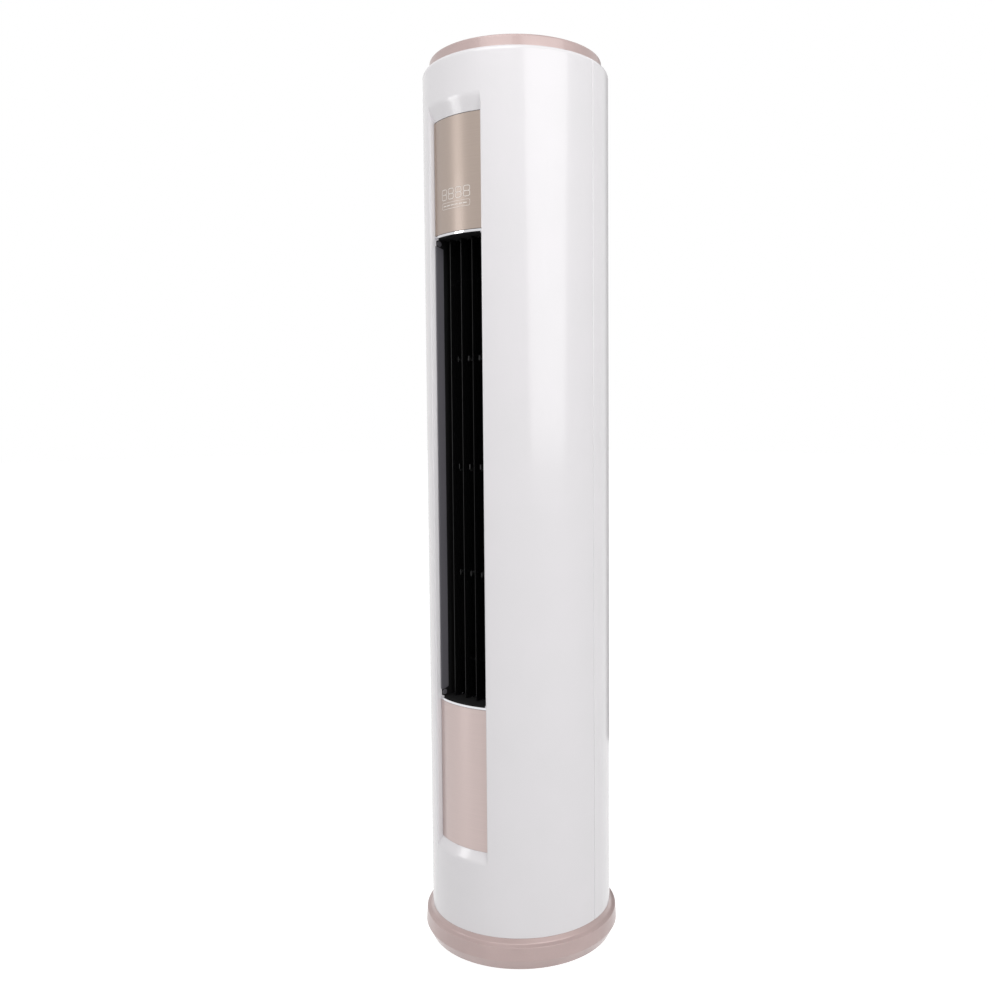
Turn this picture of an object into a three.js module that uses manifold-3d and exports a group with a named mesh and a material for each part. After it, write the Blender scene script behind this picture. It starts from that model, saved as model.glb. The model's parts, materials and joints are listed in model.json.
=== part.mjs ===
// Floor standing air conditioner: a round cabinet with a tall recessed air outlet at the front.
//
// Millimetres, +Z up. The origin is on the floor under the cabinet's axis and the front faces -Y.
// A bearing is an angle about that axis in degrees: 0 is the front, 90 the right-hand side (+X).

import * as THREE from 'three';
import { mergeVertices } from 'three/addons/utils/BufferGeometryUtils.js';
import Module from 'manifold-3d';

const wasm = await Module();
wasm.setup();

// ---------------------------------------------------------------- driving dimensions

// Casing
const bodyRadius = 190;
const shellWall = 3;
const shellHeight = 1725;
const shoulderRadius = 10;
const lipWidth = 8;
const frontShellBearing = 95;
const seamGap = 1.2;
const seamFlangeDepth = 10;
const seamFlangeWall = 2.5;
const seamFlangeMargin = 40;

// Base
const baseHeight = 63;
const skirtFootReach = 2.6;
const skirtRidgeReach = 14;
const skirtRidgeHeight = 23;
const skirtShoulderReach = 12;
const skirtShoulderHeight = 49.5;
const skirtWall = 3;
const skirtFloorGap = 2;
const padHeight = 6;
const padRadius = 14;
const padSpread = 150;
const panWall = 2;
const panRimWidth = 8;

// Top
const topRingHeight = 23;
const topRingInset = 13;
const topRingTaper = 1.3;
const topRingWall = 4;
const topRimWidth = 10;
const topCoverWall = 3;
const topCoverRecess = 1;

// Slot in the front shell, from the bottom up
const slotHalfBearing = 21.95;
const recessDepth = 11;
const slotRise = 141;
const lowerRampHeight = 23;
const lowerPanelHeight = 288;
const trimHeight = 5;
const displayHeight = 222;
const upperRampHeight = 34;
const slotHeadroom = 80;
const slotWall = 2.6;
const ledgeWidth = 6;
const ledgeWall = 2.5;
const panelWall = 2.6;
const trimProud = 1.2;
const mouthStep = 1;
const displayBoardSetback = 9;
const displayBoardMargin = 36;

// Air duct behind the outlet
const ductWall = 2.5;
const ductPlateWall = 3;
const linerWall = 2.4;
const linerDepth = 20;
const linerEndGap = 13;
const linerEndSlope = 5;
const linerLugWidth = 8;
const ductLegRadius = 5;
const scrollTurnIn = 60;
const scrollTurnOut = 150;
const tongueBearing = 75;
const tongueNoseRadius = 4;

// Vertical vanes, their links and supports
const vaneCount = 4;
const vaneSideGap = 17.1;
const vaneSetback = 44;
const vaneChord = 40;
const vaneThickness = 3.2;
const vaneEndGap = 1;
const vanePinRadius = 4;
const journalRadius = 2.2;
const crankRadius = 15;
const crankPinRadius = 1.8;
const notchHeight = 10;
const journalNotchMargin = 1.2;
const crankNotchMargin = 2.6;
const clipWall = 1.8;
const linkThickness = 4;
const supportThickness = 3;
const supportBarWidth = 6;
const supportBarGap = 2;
const supportShares = [0, 0.517, 1];
const upperSupportDrop = 237;
const lowerSupportRise = 255;
const upperLinkDrop = 79;
const lowerLinkRise = 76;

// Swing motor
const swingMotorRadius = 14;
const swingMotorHeight = 18;
const swingMotorEarReach = 7;
const swingMotorEarWidth = 8;
const swingMotorEarWall = 1.5;
const swingShaftRadius = 2.2;
const swingShaftGrip = 3;

// Cross-flow fan
const fanRadius = 56;
const fanSetback = 172;
const fanEndGap = 10;
const fanBlades = 13;
const fanSections = 3;
const bladeDepth = 15;
const bladeWall = 2;
const bladeLean = 14;
const fanDiscWall = 3;
const fanHubRadius = 18;
const fanHubHeight = 12;
const fanSocketDepth = 9;
const fanShaftRadius = 6;
const fanShaftMargin = 3;
const fanGap = 5;
const fanMotorRadius = 48;
const fanMotorHeight = 74;
const fanMotorBossRadius = 24;
const fanMotorBossHeight = 6;
const fanMotorFlangeReach = 10;
const fanMotorFlangeWall = 8;
const fanMotorShaftDepth = 44;
const bearingWall = 7;
const bearingHeight = 9;
const idlerReach = 3;

// Heat exchanger
const coilPostGap = 11.3;
const coilDepth = 28;
const coilHalfSweep = 115;
const tubePlateWall = 1.5;
const tubePlateMargin = 2;
const baffleLead = 3.8;
const hairpinCount = 5;
const tubeRadius = 4;
const trayDepth = 22;
const trayWall = 2;
const trayMargin = 8;
const trayEndMargin = 14;
const trayRibCount = 3;
const trayRibInset = 8;
const trayRibHeight = 10;
const gasPipeRadius = 8;
const liquidPipeRadius = 4.8;
const pipeSpread = 18;
const pipeSetback = 40;
const pipeRiserY = 59;
const pipeBend = 32;
const pipeNutWall = 4;
const pipeNutLength = 12;

// Chassis
const deckWall = 2;
const deckFlange = 22;
const deckDrop = 37;
const deckRise = 16;
const deckMargin = 11;
const postWidth = 44;
const postDepth = 18;
const postWall = 2;
const postWebMargin = 4;
const topPlateDrop = 8;
const topPlateMargin = 4;
const topPlateRim = 7;

// Rear intake grille and filter
const grilleHalfBearing = 50;
const grilleLowerInset = 43;
const grilleUpperInset = 24;
const grilleWall = 3;
const seatLedge = 8;
const seatLedgeWall = 2;
const grilleBorder = 14;
const grilleColumns = 15;
const grilleRows = 3;
const grilleBarWidth = 5;
const grilleRowBar = 12;
const filterWall = 3;
const filterFrameWidth = 8;
const filterInset = 10;
const filterRows = 3;
const netWall = 0.8;

// Electrics
const controlBoxWidth = 150;
const controlBoxDepth = 62;
const controlBoxHeight = 180;
const controlBoxGap = 12;
const controlBoardHeight = 144;
const controlBoardStandoff = 8;
const capacitorCount = 3;
const capacitorRadius = 11;
const capacitorHeight = 26;
const transformerWidth = 44;
const transformerHeight = 34;
const transformerDepth = 22;
const standWidth = 6;
const boardWidth = 96;
const boardWall = 1.6;
const bossRadius = 3;
const terminalX = -93;
const terminalFootWidth = 40;
const terminalFootWall = 3;
const terminalTowerWall = 6;
const terminalTowerWidth = 36;
const terminalTowerHeight = 110;
const terminalStripWidth = 32;
const terminalStripDepth = 16;
const terminalStripHeight = 40;

// Service cover, pipe outlet and wall bracket at the back
const serviceHalfBearing = 38;
const serviceRise = 12;
const serviceHeight = 300;
const pipeHoleWidth = 76;
const pipeHoleHeight = 56;
const pipeHoleRise = 30;
const grommetWall = 2.5;
const grommetDepth = 9;
const bracketWidth = 80;
const bracketHeight = 30;
const bracketWall = 2;
const bracketDrop = 60;
const bracketLegInset = 20;
const bracketLegWidth = 8;
const bracketSlotSpread = 30;
const bracketSlotRadius = 3;

// Clearances
const fitGap = 0.3;
const runGap = 0.3;

// How far joined solids run into each other and cutters run past a face
const overlap = 1;

// Facets
const turnSteps = 60;
const ringSteps = 40;
const innerStep = 12;
const pinSteps = 6;
const boreSteps = 10;
const canSteps = 16;
const discSteps = 24;

// ---------------------------------------------------------------- derived levels and radii

const degree = Math.PI / 180;
const shellTop = baseHeight + shellHeight;
const shellInner = bodyRadius - shellWall;

const slotBottom = baseHeight + slotRise;
const lowerPanelBottom = slotBottom + lowerRampHeight;
const lowerTrimBottom = lowerPanelBottom + lowerPanelHeight;
const outletBottom = lowerTrimBottom + trimHeight;
const slotTop = shellTop - slotHeadroom;
const displayTop = slotTop - upperRampHeight;
const displayBottom = displayTop - displayHeight;
const outletTop = displayBottom - trimHeight;

const panelRadius = bodyRadius - recessDepth;
const panelBack = panelRadius - panelWall;
const ledgeRadius = panelBack - fitGap;
const ledgeBack = ledgeRadius - ledgeWall;

const mouthRadius = panelBack + mouthStep;
const ductHalf = mouthRadius * Math.sin(slotHalfBearing * degree);
const linerInner = ductHalf - fitGap - linerWall;
const vaneAxisY = -(bodyRadius - vaneSetback) + vaneChord / 2;
const fanAxisY = -(bodyRadius - fanSetback);
const lowerDeckTop = outletBottom - ductPlateWall - deckDrop;
const upperDeckBottom = outletTop + ductPlateWall + deckRise;
const flangeInner = shellInner - seamFlangeDepth;
const panInside = (shellInner - panRimWidth - panWall) * Math.cos(2 * Math.PI / ringSteps);
const postCorner = Math.min(flangeInner, panInside) - fitGap;
const postOuterX = Math.sqrt(postCorner ** 2 - (postWidth / 2) ** 2);
const postInnerX = postOuterX - postDepth;
const coilOuterRadius = postInnerX - coilPostGap;
const coilInnerRadius = coilOuterRadius - coilDepth;
const panFloorTop = padHeight + panWall;
const topPlateBottom = shellTop - shellWall - topPlateDrop;

// ---------------------------------------------------------------- solids from three.js geometry

/** Closed three.js geometry as a manifold solid. */
function solid(geometry) {
  const bare = geometry.index ? geometry.toNonIndexed() : geometry.clone();
  bare.deleteAttribute('normal');
  bare.deleteAttribute('uv');
  const merged = mergeVertices(bare, 1e-4);
  const corners = merged.index.array;
  const kept = [];
  for (let i = 0; i < corners.length; i += 3) {
    const [a, b, c] = [corners[i], corners[i + 1], corners[i + 2]];
    if (a !== b && b !== c && c !== a) {
      kept.push(a, b, c);
    }
  }
  return new wasm.Manifold(new wasm.Mesh({
    numProp: 3,
    vertProperties: merged.attributes.position.array,
    triVerts: Uint32Array.from(kept),
  }));
}

/** Manifold solid as a three.js geometry. */
function geometryOf(body) {
  const mesh = body.getMesh();
  const geometry = new THREE.BufferGeometry();
  geometry.setAttribute('position', new THREE.BufferAttribute(mesh.vertProperties, 3));
  geometry.setIndex(new THREE.BufferAttribute(mesh.triVerts, 1));
  geometry.computeVertexNormals();
  return geometry;
}

/** Joins a list of solids. */
function join(solids) {
  return solids.reduce((sum, next) => sum.add(next));
}

/** Cuts every solid in a list out of a body. */
function cut(body, solids) {
  return solids.reduce((rest, next) => rest.subtract(next), body);
}

/** Point on a circle about the cabinet's axis. */
function at(radius, bearing) {
  return new THREE.Vector2(radius * Math.sin(bearing * degree), -radius * Math.cos(bearing * degree));
}

/** Points along an arc about the cabinet's axis. */
function arc(radius, from, to, step = 360 / turnSteps) {
  const first = Math.floor(Math.min(from, to) / step) * step;
  const between = [];
  for (let bearing = first; bearing < Math.max(from, to); bearing += step) {
    if (bearing > Math.min(from, to)) {
      between.push(at(radius, bearing));
    }
  }
  if (to < from) {
    between.reverse();
  }
  return [at(radius, from), ...between, at(radius, to)];
}

/** Points on a rounded corner of a profile, angles in degrees from the first axis. */
function corner(x, y, radius, from, to, steps) {
  return Array.from({ length: steps + 1 }, (_, i) => {
    const angle = (from + (to - from) * i / steps) * degree;
    return [x + radius * Math.cos(angle), y + radius * Math.sin(angle)];
  });
}

/** Upright prism over an outline in plan. */
function prism(outline, bottom, top) {
  const shape = new THREE.Shape(outline.map((point) => new THREE.Vector2(point.x, point.y)));
  const geometry = new THREE.ExtrudeGeometry(shape, { depth: top - bottom, bevelEnabled: false });
  geometry.translate(0, 0, bottom);
  return solid(geometry);
}

/** Upright prism over a polygon given as [x, y] pairs. */
function slab(corners, bottom, top) {
  return prism(corners.map(([x, y]) => new THREE.Vector2(x, y)), bottom, top);
}

/** Box between two corners. */
function block(low, high) {
  const geometry = new THREE.BoxGeometry(high[0] - low[0], high[1] - low[1], high[2] - low[2]);
  geometry.translate((low[0] + high[0]) / 2, (low[1] + high[1]) / 2, (low[2] + high[2]) / 2);
  return solid(geometry);
}

/** Body of revolution about the cabinet's axis from a closed profile of [radius, height] pairs. */
function revolve(profile, steps = turnSteps) {
  const closed = [...profile, profile[0]].map(([radius, height]) => new THREE.Vector2(radius, height));
  const geometry = new THREE.LatheGeometry(closed, steps);
  geometry.rotateX(Math.PI / 2);
  return solid(geometry);
}

/** Upright round bar. */
function post(radius, bottom, top, steps = pinSteps, x = 0, y = 0) {
  const geometry = new THREE.CylinderGeometry(radius, radius, top - bottom, steps);
  geometry.rotateX(Math.PI / 2);
  geometry.translate(x, y, (bottom + top) / 2);
  return solid(geometry);
}

/** Cutter for a round hole whose flats clear a bar of the given radius. */
function bore(radius, bottom, top, x = 0, y = 0, steps = boreSteps) {
  return post(radius / Math.cos(Math.PI / steps), bottom, top, steps, x, y);
}

/** Sector of a ring between two radii, two bearings and two levels. */
function ringSector(inner, outer, from, to, bottom, top, step) {
  return prism([...arc(outer, from, to, step), ...arc(inner, to, from, step)], bottom, top);
}

/** Wedge from the cabinet's axis outwards, the whole height of the cabinet. */
function wedge(from, to) {
  const far = bodyRadius * 1.5;
  return prism([new THREE.Vector2(0, 0), ...arc(far, from, to)], 0, shellTop + topRingHeight);
}

/** Angle in degrees that a length along a circle covers. */
function sweep(length, radius) {
  return length / radius / degree;
}

// ---------------------------------------------------------------- finishes and the group

const finishes = {
  glossWhite: { color: 0xefedf1, roughness: 0.18, metalness: 0 },
  roseGold: { color: 0xc2aca6, roughness: 0.35, metalness: 0.6 },
  champagne: { color: 0xb8a99c, roughness: 0.38, metalness: 0.7 },
  roseBrushed: { color: 0xc9b4b0, roughness: 0.4, metalness: 0.6 },
  chrome: { color: 0xd8d8da, roughness: 0.08, metalness: 1 },
  blackGloss: { color: 0x0c0c0e, roughness: 0.22, metalness: 0 },
  blackMatte: { color: 0x141416, roughness: 0.6, metalness: 0 },
  greyPlastic: { color: 0x514f54, roughness: 0.45, metalness: 0 },
  steel: { color: 0xb4b6b8, roughness: 0.45, metalness: 0.9 },
  aluminium: { color: 0xcfd2d4, roughness: 0.4, metalness: 0.9 },
  copper: { color: 0xb5714a, roughness: 0.35, metalness: 0.95 },
  rubber: { color: 0x1c1c1c, roughness: 0.85, metalness: 0 },
  board: { color: 0x2b5a3c, roughness: 0.6, metalness: 0 },
  net: { color: 0x8c949c, roughness: 0.8, metalness: 0 },
};

const cabinet = new THREE.Group();

/** Adds one named sub-part to a group. */
function place(name, body, finish, group = cabinet) {
  const mesh = new THREE.Mesh(geometryOf(body), new THREE.MeshStandardMaterial(finishes[finish]));
  mesh.name = name;
  group.add(mesh);
  return mesh;
}

// ---------------------------------------------------------------- base

/** Flared skirt ring: foot, ridge, shoulder and the cove up to the casing. */
function baseSkirt() {
  const foot = bodyRadius + skirtFootReach;
  const ridge = bodyRadius + skirtRidgeReach;
  const shoulder = bodyRadius + skirtShoulderReach;
  const top = baseHeight - fitGap;
  const coveReach = shoulder - bodyRadius;
  const coveRise = top - skirtShoulderHeight;
  const cove = [45, 0].map((angle) => [
    shoulder - coveReach * Math.cos(angle * degree),
    top - coveRise * Math.sin(angle * degree),
  ]);
  const seat = top - 2 * panWall;
  return revolve([
    [foot - skirtWall, skirtFloorGap],
    [foot, skirtFloorGap],
    [ridge, skirtRidgeHeight],
    [shoulder, skirtShoulderHeight],
    ...cove,
    [shellInner + fitGap, top],
    [shellInner + fitGap, seat],
    [shellInner - skirtWall, seat],
    [shellInner - skirtWall, seat - skirtWall],
    [shoulder - skirtWall - fitGap, skirtShoulderHeight - skirtWall],
    [ridge - skirtWall, skirtRidgeHeight],
  ], ringSteps);
}

/** Pressed steel dish that carries the chassis, with a turned-out rim under the shells. */
function basePan() {
  const rimTop = baseHeight - fitGap;
  const rim = shellInner;
  const wall = rim - panRimWidth;
  return revolve([
    [0, padHeight],
    [wall, padHeight],
    [wall, rimTop - panWall],
    [rim, rimTop - panWall],
    [rim, rimTop],
    [wall - panWall, rimTop],
    [wall - panWall, panFloorTop],
    [0, panFloorTop],
  ], ringSteps / 2);
}

/** Rubber pads under the pan. */
function addPads() {
  for (let i = 0; i < 4; i += 1) {
    const spot = at(padSpread, 45 + 90 * i);
    const pad = place(`foot_pad_${i + 1}`, post(padRadius, 0, padHeight - fitGap, boreSteps), 'rubber');
    pad.position.set(spot.x, spot.y, 0);
  }
}

// ---------------------------------------------------------------- casing

/** Whole round casing wall with its rounded shoulder and the lip that the top ring rests on. */
function casingTube() {
  const shoulderX = bodyRadius - shoulderRadius;
  const shoulderZ = shellTop - shoulderRadius;
  const lip = shoulderX - lipWidth;
  return revolve([
    [shellInner, baseHeight],
    [bodyRadius, baseHeight],
    ...corner(shoulderX, shoulderZ, shoulderRadius, 0, 90, 2),
    [lip, shellTop],
    [lip, shellTop - shellWall],
    ...corner(shoulderX, shoulderZ, shoulderRadius - shellWall, 90, 0, 1),
  ]);
}

/** Radius and height of the slot's cavity: sloped ramps at both ends, opening outwards. */
function slotCavity(inner) {
  const outside = bodyRadius + shoulderRadius;
  const lowerSlope = lowerRampHeight / recessDepth;
  const upperSlope = upperRampHeight / recessDepth;
  return revolve([
    [inner, lowerPanelBottom],
    [panelRadius, lowerPanelBottom],
    [outside, slotBottom - shoulderRadius * lowerSlope],
    [outside, slotTop + shoulderRadius * upperSlope],
    [panelRadius, displayTop],
    [inner, displayTop],
  ]).intersect(wedge(-slotHalfBearing, slotHalfBearing));
}

/** Walls of the slot: the cavity grown by its own wall, before the cavity is cut out. */
function slotWalls() {
  const side = slotHalfBearing + sweep(slotWall, panelRadius);
  const lowerSlope = lowerRampHeight / recessDepth;
  const upperSlope = upperRampHeight / recessDepth;
  const lowerOffset = slotWall * Math.hypot(1, 1 / lowerSlope);
  const upperOffset = slotWall * Math.hypot(1, 1 / upperSlope);
  const root = bodyRadius - shellWall / 2;
  const reach = root - panelRadius;
  return revolve([
    [ledgeBack, lowerPanelBottom - lowerOffset],
    [panelRadius, lowerPanelBottom - lowerOffset],
    [root, lowerPanelBottom - lowerOffset - reach * lowerSlope],
    [root, displayTop + upperOffset + reach * upperSlope],
    [panelRadius, displayTop + upperOffset],
    [ledgeBack, displayTop + upperOffset],
  ]).intersect(wedge(-side, side));
}

/** Windows behind the ledge: one through behind the panels, a wider one at the air outlet. */
function slotWindows() {
  const half = slotHalfBearing - sweep(ledgeWidth, ledgeRadius);
  const wide = slotHalfBearing + sweep(ledgeWidth, ledgeRadius);
  const inside = ledgeBack - shellWall;
  return [
    ringSector(
      inside, ledgeRadius + overlap, -half, half, lowerPanelBottom + ledgeWidth, displayTop - ledgeWidth),
    ringSector(inside, mouthRadius, -wide, wide, outletBottom, outletTop),
  ];
}

const flangeOrbit = shellInner - seamFlangeDepth / 2;
const seamHalf = sweep(seamGap / 2, bodyRadius);

/** Inward flange along a seam, on one side of it. */
function seamFlange(bearing, side) {
  const edge = bearing + side * seamHalf;
  const far = edge + side * sweep(seamFlangeWall, flangeOrbit);
  const low = baseHeight + seamFlangeMargin;
  const high = shellTop - seamFlangeMargin;
  const [from, to] = [Math.min(edge, far), Math.max(edge, far)];
  return ringSector(flangeInner, shellInner + shellWall / 2, from, to, low, high);
}

/** Front shell: the tube's front part with the slot moulded into it and a flange at each seam. */
function frontShell() {
  const edge = frontShellBearing - seamHalf;
  const shell = join([
    casingTube().intersect(wedge(-edge, edge)),
    slotWalls(),
    seamFlange(frontShellBearing, -1),
    seamFlange(-frontShellBearing, 1),
  ]);
  return cut(shell, [slotCavity(ledgeRadius), ...slotWindows()]);
}

const grilleBottom = outletBottom + grilleLowerInset;
const grilleTop = outletTop - grilleUpperInset;
const serviceBottom = baseHeight + serviceRise;
const serviceTop = serviceBottom + serviceHeight;
const pipeHoleBottom = baseHeight + pipeHoleRise;
const seatRadius = bodyRadius - grilleWall - fitGap;

/** Ledge inside the rear shell that a clip-in cover rests on. */
function seatRim(half, low, high) {
  const reach = half + sweep(seatLedge, bodyRadius) / 2;
  return ringSector(
    seatRadius - seatLedgeWall, shellInner + shellWall / 2, 180 - reach, 180 + reach,
    low - seatLedge, high + seatLedge,
  );
}

/** Cutters for a clip-in cover: its rebate and the window inside the ledge. */
function seatCutters(half, low, high) {
  const through = half - sweep(seatLedge, bodyRadius);
  return [
    ringSector(seatRadius, bodyRadius + shellWall, 180 - half, 180 + half, low, high),
    ringSector(
      seatRadius - 3 * shellWall, bodyRadius + shellWall, 180 - through, 180 + through,
      low + seatLedge, high - seatLedge,
    ),
  ];
}

/** Rear shell: the rest of the tube with the rebated intake window and service window. */
function rearShell() {
  const edge = frontShellBearing + seamHalf;
  const shell = join([
    casingTube().intersect(wedge(edge, 360 - edge)),
    seatRim(grilleHalfBearing, grilleBottom, grilleTop),
    seamFlange(frontShellBearing, 1),
    seamFlange(360 - frontShellBearing, -1),
  ]);
  const serviceRim = seatRim(serviceHalfBearing, serviceBottom + seatLedge, serviceTop)
    .subtract(block([-bodyRadius, 0, 0], [bodyRadius, bodyRadius, baseHeight]));
  return cut(shell.add(serviceRim), [
    ...seatCutters(grilleHalfBearing, grilleBottom, grilleTop),
    ...seatCutters(serviceHalfBearing, serviceBottom, serviceTop),
  ]);
}

/** Clip-in cover at the foot of the rear shell, with the pipe outlet. */
function serviceCover() {
  const half = serviceHalfBearing - sweep(fitGap, bodyRadius);
  const pipeHole = block(
    [-pipeHoleWidth / 2, shellInner - grommetDepth, pipeHoleBottom],
    [pipeHoleWidth / 2, bodyRadius + shellWall, pipeHoleBottom + pipeHoleHeight],
  );
  return ringSector(
    bodyRadius - grilleWall, bodyRadius, 180 - half, 180 + half,
    serviceBottom + fitGap, serviceTop - fitGap,
  ).subtract(pipeHole);
}

// ---------------------------------------------------------------- top

/** Inset ring on the shells' lip, slightly tapered, with a step for the cover. */
function topRing() {
  const outer = bodyRadius - topRingInset;
  const bottom = shellTop + fitGap;
  const top = shellTop + topRingHeight;
  const upper = outer - topRingTaper;
  const rim = upper - topRimWidth;
  const step = top - topCoverWall - topCoverRecess - fitGap;
  return revolve([
    [outer - topRingWall, bottom],
    [outer, bottom],
    ...corner(upper - topRingWall, top - topRingWall, topRingWall, 0, 90, 2),
    [rim, top],
    [rim, step],
    [rim - topRingWall, step],
    [rim - topRingWall, step - topRingWall],
    [outer - topRingWall - topRingTaper, step - topRingWall],
  ], ringSteps);
}

/** Lid inside the ring's rim. */
function topCover() {
  const top = shellTop + topRingHeight - topCoverRecess;
  const radius = bodyRadius - topRingInset - topRingTaper - topRimWidth - fitGap;
  return revolve([
    [0, top - topCoverWall],
    [radius, top - topCoverWall],
    [radius, top],
    [0, top],
  ], ringSteps / 2);
}

// ---------------------------------------------------------------- front panels and trims

const panelHalf = slotHalfBearing - sweep(fitGap, panelRadius);

/** Curved panel that lies on the slot's ledge. */
function curvedPanel(bottom, top) {
  return ringSector(panelBack, panelRadius, -panelHalf, panelHalf, bottom + fitGap / 2, top - fitGap / 2);
}

const boardY = -(panelBack - displayBoardSetback);
const displayBoardHeight = displayHeight - 2 * displayBoardMargin;

/** Display panel with the bosses that hold its board. */
function displayPanel() {
  const middle = (displayBottom + displayTop) / 2;
  const bosses = [-1, 1].flatMap((sideX) => [-1, 1].map((sideZ) => {
    const x = sideX * (boardWidth / 2 - 2 * bossRadius);
    const z = middle + sideZ * (displayBoardHeight / 2 - 2 * bossRadius);
    const reach = Math.sqrt(panelBack ** 2 - x ** 2) + panelWall / 2;
    const geometry = new THREE.CylinderGeometry(bossRadius, bossRadius, reach + boardY - fitGap, pinSteps);
    geometry.translate(x, -(reach - boardY + fitGap) / 2, z);
    return solid(geometry);
  }));
  return join([curvedPanel(displayBottom, displayTop - fitGap), ...bosses]);
}

/** Board behind the display panel. */
function displayBoard() {
  const middle = (displayBottom + displayTop) / 2;
  return block(
    [-boardWidth / 2, boardY, middle - displayBoardHeight / 2],
    [boardWidth / 2, boardY + boardWall, middle + displayBoardHeight / 2],
  );
}

/** Bright strip between a panel and the outlet, with a tongue into the window. */
function trimStrip(bottom, top) {
  const half = slotHalfBearing - sweep(ledgeWidth + fitGap, ledgeRadius);
  return join([
    ringSector(panelBack, panelRadius + trimProud, -panelHalf, panelHalf, bottom, top),
    ringSector(ledgeBack, panelBack + panelWall / 2, -half, half, bottom, top),
  ]);
}

// ---------------------------------------------------------------- air duct

const ductPlateFront = ledgeBack - fitGap;
const scrollGap = fanRadius + fanGap;

const scrollStart = ductHalf / Math.sin(scrollTurnIn * degree);
const scrollStartY = fanAxisY - scrollStart * Math.cos(scrollTurnIn * degree);

/** Outline in plan of the duct's floor and roof. */
function ductPlateOutline() {
  const sideX = ductHalf + ductWall;
  const half = Math.asin(sideX / ductPlateFront) / degree;
  const front = arc(ductPlateFront, -half, half).map((point) => [point.x, point.y]);
  const radius = scrollStart + ductWall;
  const round = corner(0, fanAxisY, radius, scrollTurnIn - 90, 270 - scrollTurnIn, 12);
  return [...front, ...round];
}

/** Positions of the legs that join a duct plate to its deck. */
function ductLegs() {
  const x = ductHalf - ductLegRadius;
  const front = fanAxisY - ductHalf;
  const back = fanAxisY + ductHalf - 3 * ductLegRadius;
  return [[-x, front], [x, front], [-x / 2, back], [x / 2, back]];
}

/** X of each vane's pivot. */
function vaneXs() {
  const reach = linerInner - vaneSideGap;
  return Array.from({ length: vaneCount }, (_, i) => reach * (2 * i / (vaneCount - 1) - 1));
}

/** Floor of the duct: vane bores, shaft bore and legs down to the lower deck. */
function ductFloor() {
  const top = outletBottom;
  const bottom = top - ductPlateWall;
  const plate = slab(ductPlateOutline(), bottom, top);
  const legs = ductLegs().map(([x, y]) =>
    post(ductLegRadius, lowerDeckTop + fitGap, bottom + overlap, pinSteps, x, y));
  const pins = vaneXs().map((x) =>
    bore(vanePinRadius + runGap, bottom - overlap, top + overlap, x, vaneAxisY));
  const shaft = bore(fanShaftRadius + fanShaftMargin, bottom - overlap, top + overlap, 0, fanAxisY);
  return cut(join([plate, ...legs]), [...pins, shaft]);
}

/** Roof of the duct: vane bores, the bearing's seat and legs up to the upper deck. */
function ductRoof() {
  const bottom = outletTop;
  const top = bottom + ductPlateWall;
  const plate = slab(ductPlateOutline(), bottom, top);
  const legs = ductLegs().map(([x, y]) =>
    post(ductLegRadius, top - overlap, upperDeckBottom - fitGap, pinSteps, x, y));
  const pins = vaneXs().map((x) =>
    bore(vanePinRadius + runGap, bottom - overlap, top + overlap, x, vaneAxisY));
  const seat = post(
    fanShaftRadius + runGap + bearingWall + fitGap, bottom - overlap, top + overlap, boreSteps, 0, fanAxisY);
  return cut(join([plate, ...legs]), [...pins, seat]);
}

const wallFront = -Math.sqrt((mouthRadius - fitGap) ** 2 - (ductHalf + ductWall) ** 2);

/** Right-hand side of the duct, which goes on as the fan's scroll. */
function scrollWall() {
  const steps = 6;
  const spiral = (offset) => Array.from({ length: steps + 1 }, (_, i) => {
    const angle = (scrollTurnIn + (scrollTurnOut - scrollTurnIn) * i / steps) * degree;
    const radius = scrollStart + (scrollGap - scrollStart) * i / steps + offset;
    return [radius * Math.sin(angle), fanAxisY - radius * Math.cos(angle)];
  });
  const outline = [
    [ductHalf, wallFront],
    [ductHalf + ductWall, wallFront],
    ...spiral(ductWall),
    ...spiral(0).reverse(),
  ];
  return slab(outline, outletBottom + fitGap, outletTop - fitGap);
}

/** Left-hand side of the duct, which ends in the tongue beside the fan. */
function tongueWall() {
  const reach = scrollGap + tongueNoseRadius;
  const noseX = -reach * Math.sin(tongueBearing * degree);
  const noseY = fanAxisY - reach * Math.cos(tongueBearing * degree);
  const outline = [
    [-ductHalf - ductWall, wallFront],
    [-ductHalf, wallFront],
    [-ductHalf, noseY - 3 * tongueNoseRadius],
    ...corner(noseX, noseY, tongueNoseRadius, -20, 160, 5),
    [-ductHalf - ductWall, noseY],
  ];
  return slab(outline, outletBottom + fitGap, outletTop - fitGap);
}

/** Grey liner inside a side of the outlet's mouth, with a lug at each end. */
function sideLiner(side) {
  const outer = ductHalf - fitGap;
  const front = -Math.sqrt((panelRadius + trimProud) ** 2 - outer ** 2);
  const back = front + linerDepth;
  const low = outletBottom + linerEndGap;
  const high = outletTop - linerEndGap;
  const shape = new THREE.Shape([
    new THREE.Vector2(front, low),
    new THREE.Vector2(back, low + linerEndSlope),
    new THREE.Vector2(back, high - linerEndSlope),
    new THREE.Vector2(front, high),
  ]);
  const geometry = new THREE.ExtrudeGeometry(shape, { depth: linerWall, bevelEnabled: false });
  geometry.rotateX(Math.PI / 2);
  geometry.rotateZ(Math.PI / 2);
  geometry.translate(side > 0 ? outer - linerWall : -outer, 0, 0);
  const middle = (front + back) / 2;
  const lug = block(
    [side * (outer - linerWall / 2) - linerWall / 2, middle - linerLugWidth / 2, outletBottom + fitGap],
    [side * (outer - linerWall / 2) + linerWall / 2, middle + linerLugWidth / 2, outletTop - fitGap],
  );
  return solid(geometry).add(lug);
}

// ---------------------------------------------------------------- vanes, supports and links

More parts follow.
